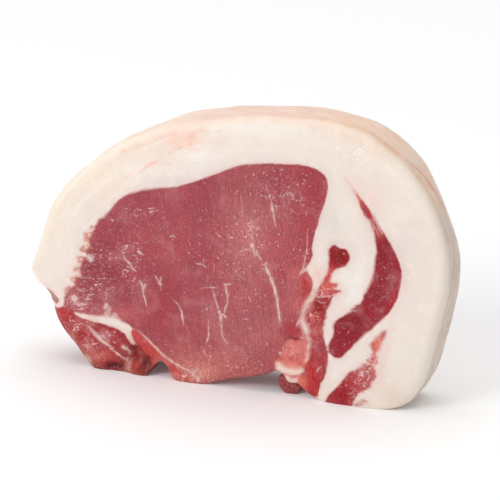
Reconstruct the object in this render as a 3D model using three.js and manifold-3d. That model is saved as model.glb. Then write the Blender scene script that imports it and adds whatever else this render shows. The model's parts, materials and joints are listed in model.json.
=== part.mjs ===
// Raw boneless pork loin chop, one thick slice standing on its trimmed edge.
// Millimetres, X across the slice, +Z up, the photographed cut face towards -Y.
import * as THREE from "three";
import { mergeVertices } from "three/addons/utils/BufferGeometryUtils.js";
import Module from "manifold-3d";

const wasm = await Module();
wasm.setup();

// Driving sizes
const THICKNESS = 22;
const SEAM_GAP = 0.3;
const HALF = THICKNESS / 2;
const CUT_MARGIN = 6;
const WELD = 1e-4;
const OUTLINE_STEPS = 176;
const MUSCLE_STEP = 1.7;
const CENTRE = [0, 46];

// Depth rings of the rounded rim, as angles round the quarter circle
const ROUND_ANGLES = [0, 34, 64, 90];
// Rings of the cut faces, as shares of the way out from the centre
const FACE_RINGS = [0.3, 0.62, 0.86];

// Body outline, clockwise from the left corner of the fat: x, z, radius of the rim there
const SKIN_LINE = [
  [-76, 33.4, 2],
  [-73.2, 42, 2.8],
  [-67.5, 57.5, 3],
  [-56, 72, 3],
  [-42.8, 82, 3],
  [-27.8, 89, 3],
  [-13.6, 93.5, 3],
  [0, 96, 3],
  [16, 97.6, 3],
  [32, 97.6, 3],
  [47.6, 94.8, 2.8],
  [58.3, 87.5, 2.6],
  [65, 80.4, 2.6],
  [71.5, 70, 2.4],
  [75.6, 57, 2.4],
  [75.4, 41, 2.6],
  [71.4, 22, 3.4],
  [67.9, 9.8, 4.4],
];
const RIGHT_FOOT = [
  [63, 2.6, 5],
  [54, 0.4, 3],
  [46, -0.1, 1.4],
  [37, -0.1, 1.2],
  [31, 1.4, 1],
  [27, 2.8, 1],
  [25.2, 4.6, 1],
];
const EYE_BASE = [
  [21.4, 5.6, 1],
  [16.6, 8.2, 1],
  [9, 5, 1],
  [0, 3.1, 1],
  [-9, 1, 1],
  [-14, -0.1, 1],
  [-20.2, 0, 1],
  [-23.6, 2.8, 1],
  [-26.3, 5.6, 1],
  [-28.8, 4.6, 1],
  [-31, 2.2, 1.2],
  [-33.4, -0.1, 1.4],
];
const FLAP_EDGE = [
  [-38.5, -0.1, 2],
  [-45.5, 0.2, 3.2],
  [-53.2, 0.2, 4],
  [-57.6, 4.8, 4.6],
  [-63.4, 11.8, 4.6],
  [-67.6, 18.4, 4.4],
  [-68.6, 22.4, 5],
  [-71.4, 27, 4],
  [-75, 31, 2.4],
];

// Large round muscle, a closed curve: x, z
const EYE_CURVE = [
  [-62.3, 23.6],
  [-58.4, 32],
  [-55.3, 40],
  [-47.5, 55.3],
  [-40, 64.8],
  [-31, 68.6],
  [-20, 70.8],
  [-7, 75.7],
  [3, 80.3],
  [20, 82.6],
  [30.6, 81.8],
  [34, 77.2],
  [31.6, 66],
  [29.4, 54],
  [27, 46.8],
  [29.4, 42.4],
  [28.6, 39],
  [26.4, 35],
  [25, 31],
  [24.6, 27.6],
  [25.5, 24.4],
  [25, 21.6],
  [19.6, 20.8],
  [18.2, 17.2],
  [16.2, 12.8],
  [15.4, 8.6],
  [15.2, 2],
  [0, -3],
  [-12.4, -2],
  [-13.6, 2.4],
  [-25.6, 10],
  [-32, 15.6],
  [-38, 19.3],
  [-44, 21],
  [-53, 20.7],
];

// Small muscles, closed curves: x, z
const OUTER_STRIP = [
  [41, 79.2],
  [44.6, 75.2],
  [49, 69.6],
  [52.3, 65],
  [55.4, 60.4],
  [58.4, 55],
  [60.2, 49.6],
  [59.6, 45],
  [57.4, 38.2],
  [55.6, 35],
  [50.6, 30],
  [45.4, 24.8],
  [40.4, 18.8],
  [38, 16.8],
  [35.4, 18.8],
  [36, 22.4],
  [37.4, 24.8],
  [37.1, 27.6],
  [38.6, 29.8],
  [41.4, 31.6],
  [44.6, 35],
  [47.6, 37.8],
  [47.8, 40],
  [50, 44.8],
  [51.3, 51],
  [51, 58],
  [49.6, 64.4],
  [46.8, 70],
  [44, 74.4],
];
const INNER_STRIP = [
  [35, 53],
  [35.4, 55],
  [36.8, 56.2],
  [38, 55.9],
  [39, 55.2],
  [40.2, 55.6],
  [41.3, 55.2],
  [42.2, 53.7],
  [42.3, 52],
  [41.5, 50.3],
  [40.1, 49.2],
  [38.4, 48.7],
  [37.2, 47.9],
  [36.4, 46.4],
  [35.8, 44.4],
  [36.8, 42.9],
  [38.2, 42.4],
  [37.6, 40.8],
  [38.6, 39.6],
  [37.3, 38],
  [36.3, 35.8],
  [34.2, 31],
  [33.2, 26.6],
  [33.6, 22.6],
  [34.8, 18.4],
  [35, 15],
  [33.4, 7],
  [30.6, -2],
  [25, -1],
  [26.2, 8],
  [26.9, 11],
  [28.6, 12.9],
  [29.7, 14.8],
  [30, 21],
  [28.6, 26.4],
  [27.4, 28.2],
  [27.1, 30.2],
  [27.7, 32.4],
  [30.8, 37.4],
  [30.9, 39.6],
  [33.8, 44.4],
  [35, 47.6],
];
const LOWER_STRIP = [
  [55.4, 28.6],
  [54.6, 25],
  [53.2, 20.6],
  [52.4, 15.4],
  [51.6, 11.6],
  [49.4, 7],
  [46.4, 4],
  [44, 0.4],
  [42, -3],
  [35, -3],
  [34.4, 0.4],
  [38.2, 4.2],
  [41.8, 9.4],
  [45.4, 13.4],
  [49.2, 16.4],
  [50.4, 19.6],
  [49.9, 22.4],
  [52.4, 25.6],
];
const TAIL_STRIP = [
  [-36.9, 15.6],
  [-34.4, 14.6],
  [-31, 12],
  [-28.2, 9.4],
  [-20.4, 4.7],
  [-14.4, 1.9],
  [-12.8, -0.6],
  [-14, -3],
  [-21, -2],
  [-25, 2.6],
  [-28.6, 3.6],
  [-31.6, 6.6],
  [-36.2, 10.6],
  [-37.2, 12.8],
];
const CHAIN_END = [
  [-38.4, 9],
  [-37.4, 10.4],
  [-35, 10.6],
  [-32, 8.4],
  [-29, 5.4],
  [-29, -2],
  [-34, -3],
  [-38.9, -2],
  [-39.2, 3],
];
const CHAIN_UPPER = [
  [-56.2, 17.5],
  [-49, 17.2],
  [-45.4, 16.2],
  [-39.9, 13.8],
  [-38, 10.8],
  [-37.6, 6],
  [-38.4, 4.6],
  [-43, 7.9],
  [-48.6, 12.2],
  [-51.6, 14.6],
  [-54.2, 16.5],
];
const CHAIN_OUTER = [
  [-67.5, 20.2],
  [-64.6, 20.7],
  [-61.4, 19.5],
  [-58, 17.9],
  [-55.2, 16],
  [-50.2, 10.6],
  [-46, 8.4],
  [-42.6, 8],
  [-37.6, 5],
  [-37.6, -2],
  [-46, -4],
  [-55, -3],
  [-62, 4],
  [-69, 14],
];
const FAT_KNOB = [
  [18.6, 21.8],
  [22.6, 21.8],
  [25.6, 21.6],
  [27, 20],
  [27.4, 17.6],
  [26.8, 13],
  [27.4, 10],
  [26.4, 3],
  [19, 2],
  [14, 7],
  [14.4, 11],
  [16, 16],
];

// Loose shred of lean under the knob, set back from the cut face: x, z, rim radius
const SHRED_CURVE = [
  [16, 3.2, 1.2],
  [16.8, 6.2, 1],
  [20, 6, 1],
  [23.4, 4.6, 1],
  [24.4, 2.6, 1],
  [23.4, 0.1, 1],
  [18.2, -0.1, 1],
];
const SHRED_CENTRE = [20, 3];
const SHRED_FRONT = 5.5 - HALF;
const SHRED_BACK = HALF - 1;
const SHRED_STEPS = 22;

// Dips of the cut face: x, z, reach, depth
const DIPS = [
  [-36, 8, 3, 3.2],
  [-39, 3.5, 3.2, 1.6],
  [-28, 6, 3, 1.4],
  [20, 8, 4.2, 1.6],
  [30, 2, 4, 0.8],
];
// Waves of the cut faces: height, and turn per millimetre across and up
const FACE_WAVE = 0.35;
const FACE_WAVE_ACROSS = 0.11;
const FACE_WAVE_UP = 0.13;
const BACK_PHASE_ACROSS = 2;
const BACK_PHASE_UP = 1.2;
// Waves of the skin: height, waves round the rim, turn per millimetre of depth, share, phase
const SKIN_WAVE = 0.28;
const SKIN_WAVES = [
  [7, 0.09, 1, 0],
  [13, -0.13, 0.6, 1],
];
// Heights between which the skin's waves set in, and the depth where its back loss starts
const CALM_BELOW = 14;
const WAVED_ABOVE = 34;
const LOSS_START = -4;
// Loss of the rim towards the back face: degrees round from +X, reach in degrees, depth
const BACK_LOSS = [
  [14, 13, 3.4],
  [48, 20, 1.5],
];

// Colours
const FAT_CREAM = 0xf0e2d6;
const LEAN_ROSE = 0xb0585e;
const LEAN_CRIMSON = 0x9d424a;
const LEAN_MARBLED = 0xbb6462;
const KNOB_PINK = 0xdb9284;
const ROUGHNESS = 0.5;

// Closed smooth curve through points, sampled evenly; a third number rides along as y
function closedCurve(points) {
  const knots = points.map(([x, z, extra = 0]) => new THREE.Vector3(x, extra, z));
  return new THREE.CatmullRomCurve3(knots, true, "centripetal");
}

function evenPoints(curve, count) {
  return curve.getSpacedPoints(count).slice(0, count);
}

// Slow swell of the skin, none near the foot, and the loss of its back edge
function skinSwell(x, z, y) {
  const around = Math.atan2(z - CENTRE[1], x - CENTRE[0]);
  let wave = 0;
  for (const [count, lean, share, phase] of SKIN_WAVES) {
    wave += share * Math.sin(count * around + lean * y + phase);
  }
  wave *= SKIN_WAVE * THREE.MathUtils.smoothstep(z, CALM_BELOW, WAVED_ABOVE);
  const towardsBack = THREE.MathUtils.smoothstep(y, LOSS_START, HALF);
  return wave - backLoss(THREE.MathUtils.radToDeg(around)) * towardsBack;
}

// How far the back of the rim lies inside the front one
function backLoss(degrees) {
  let loss = 0;
  for (const [middle, reach, depth] of BACK_LOSS) {
    const away = (degrees - middle) / reach;
    loss += depth * Math.exp(-away * away);
  }
  return loss;
}

function noSwell() {
  return 0;
}

// Outline points at one depth, pulled in by an inset and then to a share of their reach
function ring(outline, centre, depthOf, insetOf, share, swell) {
  return outline.map((p) => {
    const y = depthOf(p.y);
    const dx = p.x - centre[0];
    const dz = p.z - centre[1];
    const reach = Math.hypot(dx, dz);
    const scale = (share * (reach - insetOf(p.y) + swell(p.x, p.z, y))) / reach;
    return new THREE.Vector3(centre[0] + dx * scale, y, Math.max(0, centre[1] + dz * scale));
  });
}

// Rings of one cut face, from its hub out and round its edge to the rim
function faceRings(outline, centre, face, inwards, swell) {
  const made = FACE_RINGS.map((share) => ring(outline, centre, () => face, (r) => r, share, swell));
  for (const degrees of ROUND_ANGLES) {
    const turn = THREE.MathUtils.degToRad(degrees);
    const depthOf = (r) => face + inwards * r * (1 - Math.cos(turn));
    const insetOf = (r) => r * (1 - Math.sin(turn));
    made.push(ring(outline, centre, depthOf, insetOf, 1, swell));
  }
  return made;
}

// Closed body between two cut faces, its rim rounded by the radius at each outline point
function slab(points, count, centre, front, back, swell) {
  const outline = evenPoints(closedCurve(points), count);
  const middle = (front + back) / 2;
  const rings = [
    ...faceRings(outline, centre, front, 1, swell),
    ring(outline, centre, () => middle, () => 0, 1, swell),
    ...faceRings(outline, centre, back, -1, swell).reverse(),
  ];
  const vertices = rings.flat();
  const frontHub = vertices.push(new THREE.Vector3(centre[0], front, centre[1])) - 1;
  const backHub = vertices.push(new THREE.Vector3(centre[0], back, centre[1])) - 1;
  const last = (rings.length - 1) * count;
  const faces = [];
  for (let i = 0; i < count; i += 1) {
    const j = (i + 1) % count;
    faces.push(frontHub, j, i);
    faces.push(backHub, last + i, last + j);
    for (let r = 0; r < last; r += count) {
      faces.push(r + i, r + j, r + count + j);
      faces.push(r + i, r + count + j, r + count + i);
    }
  }
  const geometry = new THREE.BufferGeometry().setFromPoints(vertices);
  geometry.setIndex(faces);
  return solid(geometry);
}

// Geometry as a solid that can be cut
function solid(geometry) {
  geometry.deleteAttribute("normal");
  geometry.deleteAttribute("uv");
  const welded = mergeVertices(geometry, WELD);
  const mesh = new wasm.Mesh({
    numProp: 3,
    vertProperties: new Float32Array(welded.getAttribute("position").array),
    triVerts: new Uint32Array(welded.index.array),
  });
  return new wasm.Manifold(mesh);
}

// Outline of a muscle from its closed curve
function curveOutline(points) {
  const curve = closedCurve(points);
  const count = Math.round(curve.getLength() / MUSCLE_STEP);
  return evenPoints(curve, count).map((p) => new THREE.Vector2(p.x, p.z));
}

// Outline moved outwards along its own normals
function grown(outline, clearance) {
  const count = outline.length;
  const outwards = Math.sign(THREE.ShapeUtils.area(outline)) * clearance;
  return outline.map((p, i) => {
    const along = outline[(i + 1) % count].clone().sub(outline[(i + count - 1) % count]);
    const normal = new THREE.Vector2(along.y, -along.x).normalize();
    return p.clone().addScaledVector(normal, outwards);
  });
}

// Straight prism of an outline through the whole slice and a margin beyond it
function prism(outline) {
  const depth = THICKNESS + 2 * CUT_MARGIN;
  const settings = { depth, bevelEnabled: false };
  const geometry = new THREE.ExtrudeGeometry(new THREE.Shape(outline), settings);
  geometry.translate(0, 0, -depth / 2);
  geometry.rotateX(Math.PI / 2);
  return solid(geometry);
}

// The one largest body of a cut result
function largest(cut) {
  return cut.decompose().reduce((best, body) => (body.volume() > best.volume() ? body : best));
}

// Inward depth of the waves of a cut face, and of the dips in the front one
function faceDip(x, z, front) {
  const across = FACE_WAVE_ACROSS * x + (front ? 0 : BACK_PHASE_ACROSS);
  const up = FACE_WAVE_UP * z + (front ? 0 : BACK_PHASE_UP);
  let depth = FACE_WAVE * Math.sin(across) * Math.sin(up);
  if (!front) return depth;
  for (const [dipX, dipZ, reach, deep] of DIPS) {
    const away = Math.hypot(x - dipX, z - dipZ) / reach;
    depth += deep * Math.exp(-away * away);
  }
  return depth;
}

// Depth of a point after its cut face is waved, most at the face and not at all at mid depth
function wavedDepth(x, y, z) {
  const share = Math.min(1, Math.abs(y) / HALF);
  return y - Math.sign(y) * share * share * faceDip(x, z, y < 0);
}

// Solid as a named mesh
function node(name, body, colour, depthOf) {
  const cut = body.getMesh();
  const position = new THREE.BufferAttribute(new Float32Array(cut.vertProperties), 3);
  for (let i = 0; i < position.count; i += 1) {
    position.setY(i, depthOf(position.getX(i), position.getY(i), position.getZ(i)));
  }
  const geometry = new THREE.BufferGeometry();
  geometry.setAttribute("position", position);
  geometry.setIndex(new THREE.BufferAttribute(new Uint32Array(cut.triVerts), 1));
  geometry.computeVertexNormals();
  const material = new THREE.MeshStandardMaterial({ color: colour, roughness: ROUGHNESS, metalness: 0 });
  const mesh = new THREE.Mesh(geometry, material);
  mesh.name = name;
  return mesh;
}

// Muscles in cutting order: each one keeps clear of those before it
const muscles = [
  ["loin_eye", curveOutline(EYE_CURVE), LEAN_ROSE],
  ["outer_strip", curveOutline(OUTER_STRIP), LEAN_CRIMSON],
  ["inner_strip", curveOutline(INNER_STRIP), LEAN_MARBLED],
  ["lower_strip", curveOutline(LOWER_STRIP), LEAN_MARBLED],
  ["tail_strip", curveOutline(TAIL_STRIP), LEAN_MARBLED],
  ["chain_end", curveOutline(CHAIN_END), LEAN_CRIMSON],
  ["chain_upper", curveOutline(CHAIN_UPPER), LEAN_CRIMSON],
  ["chain_outer", curveOutline(CHAIN_OUTER), LEAN_ROSE],
  ["fat_knob", curveOutline(FAT_KNOB), KNOB_PINK],
];

const chop = new THREE.Group();
chop.name = "pork_loin_chop";

// The slice loses each muscle in turn, and what is left is the fat
const bodyPoints = [...SKIN_LINE, ...RIGHT_FOOT, ...EYE_BASE, ...FLAP_EDGE];
let fat = slab(bodyPoints, OUTLINE_STEPS, CENTRE, -HALF, HALF, skinSwell);
for (const [name, outline, colour] of muscles) {
  const muscle = largest(fat.intersect(prism(outline)));
  fat = fat.subtract(prism(grown(outline, SEAM_GAP)));
  chop.add(node(name, muscle, colour, wavedDepth));
}
chop.add(node("fat_cap", largest(fat), FAT_CREAM, wavedDepth));

const shred = slab(SHRED_CURVE, SHRED_STEPS, SHRED_CENTRE, SHRED_FRONT, SHRED_BACK, noSwell);
chop.add(node("back_shred", shred, LEAN_CRIMSON, (x, y) => y));

export default chop;
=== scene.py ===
"""Raw boneless pork loin chop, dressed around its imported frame.

Lengths are in millimetres until a mesh is made.
"""
import json
import math

import bmesh
import bpy
import numpy as np
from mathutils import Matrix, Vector
from mathutils.bvhtree import BVHTree
from mathutils.geometry import delaunay_2d_cdt
from mathutils.kdtree import KDTree


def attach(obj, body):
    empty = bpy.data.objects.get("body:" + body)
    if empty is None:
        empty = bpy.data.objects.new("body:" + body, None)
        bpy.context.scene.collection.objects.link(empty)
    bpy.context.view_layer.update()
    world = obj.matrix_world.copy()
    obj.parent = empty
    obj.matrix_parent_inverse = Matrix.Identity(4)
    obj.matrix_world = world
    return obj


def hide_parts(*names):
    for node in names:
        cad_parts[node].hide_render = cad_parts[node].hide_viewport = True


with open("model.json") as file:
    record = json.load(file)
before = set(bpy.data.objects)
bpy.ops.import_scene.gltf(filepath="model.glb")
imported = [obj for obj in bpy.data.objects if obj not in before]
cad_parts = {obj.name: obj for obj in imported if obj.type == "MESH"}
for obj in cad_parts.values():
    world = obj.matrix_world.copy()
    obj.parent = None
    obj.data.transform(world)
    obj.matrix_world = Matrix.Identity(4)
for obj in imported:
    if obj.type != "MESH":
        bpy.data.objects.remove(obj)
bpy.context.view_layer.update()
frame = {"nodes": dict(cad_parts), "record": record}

MM = 0.001

# Camera, as the photograph was taken
VIEW_AZIMUTH = 21.0
VIEW_ELEVATION = 18.5
VIEW_DISTANCE = 800.0
VIEW_AIM = (2.74, 0.0, 47.12)
VIEW_LENS = 168.4
VIEW_SENSOR = 36.0
VIEW_START = 0.01

# Studio, in metres: each light's name, place, size and power
LIGHTS = [("key", (-1.5, -2.2, 1.6), 1.6, 34.0), ("overhead", (0.0, 0.3, 3.0), 3.0, 36.0)]
LIGHT_AIM = Vector((0.0, 0.0, 0.045))
SURROUND = 0.54
FLOOR_REACH = 4.0
FLOOR_LOOK = {
    "Base Color": (0.96, 0.96, 0.96, 1.0),
    "Emission Color": (1.0, 1.0, 1.0, 1.0),
    "Emission Strength": 0.04,
    "Roughness": 0.9,
    "Specular IOR Level": 0.1,
}

# Columns of x and z, and the middle that the rim is measured from
FLAT = [0, 2]
HUB = np.array([0.0, 46.0])

# Mesh spacing
RIM_STEP = 0.56
FACE_STEP = 0.54
ROW_STEP = 0.866 * FACE_STEP
FACE_JITTER = 0.12
BORDER_STEP = 0.5
FINE_STEP = 0.25
LINE_STEP = 0.12
STROKE_STEP = 0.4
VEIN_STEP = 0.3
VEIN_ROWS = (0.0, 0.35, -0.35, 0.8, -0.8)
VEIN_GAP = 0.3
SNAP_GAP = 0.45
FIELD_GAP = 0.38
RIM_MARGIN = 0.4
FIELD_MARGIN = 0.35
RIM_ROUNDING = 0.5
BORDER_ROUNDING = 0.45
GRID_ROUNDS = 3
EASE_ROUNDS = 8
EASE_SHARE = 0.6
RANDOM = np.random.default_rng(7)

# How the rim, the cut faces and the muscles are read off the frame
ANCHOR_INSET = 6.0
PROFILE_TURN = 75.0
PROFILE_BANDS = 44
MIDDLE_BAND = PROFILE_BANDS // 2
FAN_STEP = 0.2
FAR = 200.0
RIM_FAR = 60.0
SEAM_BRIDGE = 0.4
SURE_DEPTH = 6.5
USUAL_DEPTH = 9.0
SECTION_DEPTH = 0.07
SKIN_END = 0.5
RUN_ON = 3.0
WELD = 1e-6
MERGE_GAP = 1e-5
TINY = 1e-9
POINTS_AT_ONCE = 4000

# Muscles, in the order in which they claim the section
MUSCLES = [
    "loin_eye",
    "outer_strip",
    "inner_strip",
    "lower_strip",
    "tail_strip",
    "chain_end",
    "chain_upper",
    "chain_outer",
    "fat_knob",
]
FAT = len(MUSCLES)
NODES = [*MUSCLES, "fat_cap"]

# Materials of the slots: name, roughness of the fat and of the lean, swing of the grain
MEATS = {
    "fat": ("raw_fat", 0.5, 0.42, 0.26),
    "lean_eye": ("raw_lean_eye", 0.5, 0.42, 0.26),
    "lean_dark": ("raw_lean_dark", 0.48, 0.38, 0.26),
    "lean_marbled": ("raw_lean_marbled", 0.48, 0.4, 0.26),
    "fatty_knob": ("raw_fatty_knob", 0.46, 0.44, 0.1),
}
MEAT_SPECULAR = 0.2
MEAT_BUMP = 0.16
BUMP_STRENGTH = 0.5
SHEEN = 0.016
DARKEST = 0.008

# Loose shred
SHRED = "back_shred"
SHRED_RUN = 1.2
SHRED_ROUGHNESS = 0.42
SHRED_SPECULAR = 0.35
SHRED_BUMP = 0.2

# Tints of the lean, the fat and the shred, as 0 to 255 screen values
HAZE_PINK = (200, 136, 136)
BLOTCH_PALE = (222, 152, 146)
BLOTCH_DEEP = (156, 42, 46)
# Dark red of the joints between muscles, deepened as painted shade where they sink into recesses
JOINT_AND_SHADE_DARK = (122, 22, 28)
SPECK_WHITE = (242, 208, 206)
LAYER_PEACH = (243, 214, 196)
LAYER_WHITE = (251, 244, 236)
MOTTLE_DARK = (234, 216, 206)
MOTTLE_LIGHT = (248, 238, 226)
GRAIN_WHITE = (252, 246, 240)
FOLD_SALMON = (238, 190, 168)
FOLD_PALE = (251, 238, 227)
WRINKLE_BROWN = (172, 140, 124)
# Painted highlight of the wet fat
GLINT_WHITE = (255, 253, 249)
SHRED_DARK = (118, 36, 37)
SHRED_LIGHT = (174, 84, 80)

# Colours of the fat and of each muscle, as 0 to 255 screen values
FAT_CREAM = (240, 226, 215)
LEAN_COLOURS = {
    "loin_eye": (166, 80, 88),
    "outer_strip": (150, 49, 58),
    "inner_strip": (176, 66, 68),
    "lower_strip": (176, 72, 76),
    "tail_strip": (200, 82, 82),
    "chain_end": (140, 50, 47),
    "chain_upper": (160, 54, 60),
    "chain_outer": (168, 60, 64),
    "fat_knob": (222, 124, 115),
}

# Lean tones: x, z, reach across, reach up, strength, colour
LEAN_TONES = [
    # Eye
    (6, 57, 9, 20, 0.8, (194, 118, 117)),
    (5, 22, 18, 12, 0.6, (182, 108, 110)),
    (-48, 38, 12, 14, 0.9, (152, 68, 78)),
    (-27, 48, 10, 11, 0.5, (178, 88, 94)),
    (24, 62, 6, 12, 0.5, (178, 96, 97)),
    (8, 72, 14, 6, 0.4, (160, 76, 82)),
    (-8, 7, 22, 7, 0.65, (196, 112, 106)),
    (28.5, 75, 8, 9, 0.7, (160, 64, 70)),
    (27, 59, 4, 13, 0.5, (166, 62, 70)),
    (-42, 21.6, 9, 3, 0.5, (204, 112, 110)),
    (26.5, 42, 4, 6, 0.9, (190, 60, 58)),
    (23, 24, 6, 3.5, 0.7, (178, 56, 58)),
    (23.6, 33, 3, 4, 0.6, (200, 110, 103)),
    (18, 45, 7, 10, 0.4, (186, 92, 94)),
    (-13, 4.6, 8, 3.4, 0.8, (212, 138, 126)),
    (-59, 27, 3, 5, 0.5, (194, 122, 118)),
    (17, 17.4, 2.4, 4, 0.9, (181, 89, 91)),
    (-26, 26, 8, 9, 0.45, (162, 60, 70)),
    # Inner strip and its dot
    (28.4, 34, 1.6, 2, 0.7, (212, 136, 124)),
    (38.6, 52.8, 5.6, 4.6, 1.0, (138, 22, 38)),
    (35, 46, 1.6, 3, 0.9, (212, 88, 80)),
    (34.6, 41.6, 4, 2.4, 0.9, (212, 104, 95)),
    (31.6, 33, 2.4, 3.2, 0.95, (142, 32, 41)),
    (33.2, 35.4, 1.7, 1.8, 0.8, (150, 38, 46)),
    (29.4, 29.4, 2.2, 2, 0.8, (192, 54, 52)),
    (32, 17.4, 2.5, 8, 0.85, (164, 70, 77)),
    (29, 8, 2.6, 4.6, 0.9, (194, 46, 46)),
    # Crescent
    (55, 46, 4, 7, 0.5, (150, 58, 70)),
    (49.6, 67, 2.4, 5, 0.8, (186, 72, 74)),
    (45, 74, 2.6, 4, 0.9, (222, 106, 96)),
    (42, 78, 2.4, 3, 0.9, (236, 158, 142)),
    (58, 37, 2, 5, 0.7, (178, 54, 58)),
    (50.6, 27.5, 3, 2.6, 0.7, (176, 52, 58)),
    (52.6, 63, 1.8, 2.6, 0.6, (206, 112, 108)),
    (44, 28, 7, 6, 0.75, (138, 40, 49)),
    (54, 54, 2.6, 6, 0.6, (142, 42, 50)),
    # Lower strip
    (48.4, 6, 2.4, 4, 0.6, (192, 78, 76)),
    (53, 24, 2.4, 3.4, 1.0, (222, 126, 112)),
    (52, 17, 2.2, 5, 0.8, (213, 123, 115)),
    (47.6, 13, 2.6, 2, 0.6, (206, 130, 136)),
    (40.6, 4, 4, 4, 0.9, (152, 36, 46)),
    (47.4, 2, 2.4, 1.6, 1.0, (196, 142, 118)),
    # Flap and its scrap
    (-64, 18.6, 3, 2.6, 0.85, (186, 58, 58)),
    (-57, 12, 4, 2.4, 0.7, (166, 54, 58)),
    (-60, 9.8, 1.6, 3, 0.8, (188, 118, 105)),
    (-54.6, 6.6, 4, 2, 0.7, (186, 92, 88)),
    (-50, 4.6, 4.4, 2, 0.8, (200, 112, 103)),
    (-55, 2.4, 2, 1.8, 1.0, (208, 178, 160)),
    # Painted shadow in the pocket under the flap and along its foot
    (-44, 2.3, 4.4, 1.5, 1.0, (74, 20, 24)),
    (-50.4, 1.2, 3, 1.3, 0.9, (140, 78, 72)),
    (-39, 2.8, 1.2, 2, 0.9, (226, 172, 156)),
    (-50, 16.6, 6, 0.9, 0.8, (148, 46, 52)),
    (-47, 13.4, 3, 1.2, 0.7, (194, 114, 126)),
    (-37.6, 6.8, 1.2, 1.4, 1.0, (140, 6, 16)),
    (-34.6, 8, 1.4, 0.8, 0.9, (174, 106, 94)),
    # Painted shade in the cavity at the right of the chain's end
    (-32, 5.6, 2.2, 3, 1.0, (92, 18, 20)),
    (-36, 3.2, 2, 1.5, 0.8, (178, 66, 58)),
    # Painted highlight at the foot of the chain's end
    (-36.4, 0.8, 2.4, 0.9, 0.9, (198, 126, 112)),
    (-67.2, 24.6, 3, 2.4, 1.0, (176, 136, 124)),
    # Tail strip
    (-31, 9, 3, 2, 0.6, (204, 66, 60)),
    (-20.6, 4.4, 3, 1.6, 0.6, (192, 56, 60)),
    # Knob
    (26, 6, 1.7, 2.6, 0.9, (223, 120, 106)),
    (20, 11.6, 3.4, 1, 0.7, (232, 150, 126)),
    (22.6, 17.4, 2.6, 2, 0.5, (228, 138, 130)),
    (22, 13.4, 3, 1.2, 0.5, (216, 106, 98)),
    (23.4, 20.9, 1.4, 0.5, 1.0, (178, 24, 30)),
]

# Fat tones, in the same form
FAT_TONES = [
    # Cap
    # Painted shade in the fat along the eye's top border
    (-22, 72.4, 9, 1.8, 0.9, (224, 210, 210)),
    (-4, 79, 8, 2, 0.7, (232, 220, 214)),
    (-36, 74, 10, 3, 0.6, (252, 246, 238)),
    (-12, 82, 12, 3, 0.5, (250, 243, 234)),
    (8, 93, 14, 2.4, 0.6, (253, 244, 233)),
    (-18, 87, 9, 4, 0.9, (253, 214, 195)),
    (-34, 82, 10, 6, 0.6, (252, 230, 208)),
    (-50, 72, 12, 9, 0.7, (252, 232, 210)),
    (-64, 58, 6, 12, 0.6, (250, 234, 212)),
    (20, 89, 22, 4, 0.5, (248, 230, 220)),
    (66, 45, 8, 26, 0.8, (234, 220, 209)),
    (50, 75, 5, 7, 0.6, (238, 214, 206)),
    (60.6, 50, 3, 13, 0.65, (231, 211, 204)),
    (60, 20, 9, 14, 0.6, (239, 230, 219)),
    (54, 14, 2.4, 8, 0.6, (242, 214, 204)),
    (58, 5, 4, 6, 0.6, (226, 206, 186)),
    # Between the strips
    (44, 44, 4, 8, 0.8, (245, 240, 231)),
    (36, 64, 5, 6, 1.0, (226, 216, 205)),
    (44, 57, 3, 5, 0.6, (232, 221, 212)),
    (38, 12, 4, 7, 0.7, (243, 236, 228)),
    (31.3, 45.2, 2.5, 3.4, 0.9, (238, 200, 188)),
    (29, 37.5, 2, 4, 0.9, (230, 178, 164)),
    (30.4, 38.4, 1.4, 1.8, 0.9, (220, 128, 114)),
    (26.5, 31, 2.2, 6, 0.95, (223, 160, 147)),
    (27.2, 24.6, 1.3, 1.2, 0.9, (248, 226, 216)),
    (28, 21.6, 2.4, 1.6, 1.0, (214, 118, 108)),
    (28, 17.4, 1.6, 5, 0.9, (233, 184, 170)),
    # Painted shade: a grey ring in the fat round the top of the sunken dot
    (38.8, 57.2, 3.4, 1.4, 0.8, (222, 206, 202)),
    # Flap
    (-40, 16, 3, 3, 0.6, (238, 206, 194)),
    # Painted shade in the cavity at the right of the chain's end
    (-29.6, 3.4, 2.6, 3, 0.95, (120, 44, 40)),
    (-39, 1.6, 1.4, 2.4, 0.9, (150, 70, 64)),
    (-54, 19.4, 7, 2, 0.9, (232, 196, 191)),
    (-43, 18.2, 4.4, 1.8, 0.8, (248, 236, 228)),
    (-37.8, 12.6, 1.4, 2.6, 0.8, (238, 202, 186)),
    (-50, 12.2, 6, 3, 0.95, (228, 194, 202)),
    (-28, 10.4, 9, 5, 0.7, (230, 182, 170)),
    (-63.6, 22, 2, 1.4, 0.6, (238, 206, 188)),
    # Lip of the knob
    (21, 9.2, 6, 1.6, 1.0, (248, 219, 195)),
    (21.6, 6.2, 3, 1.3, 1.0, (244, 212, 192)),
    # Painted shade in the fold between the lip and the lobe below it
    (22, 7.6, 2.6, 0.45, 0.9, (228, 163, 137)),
]

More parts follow.
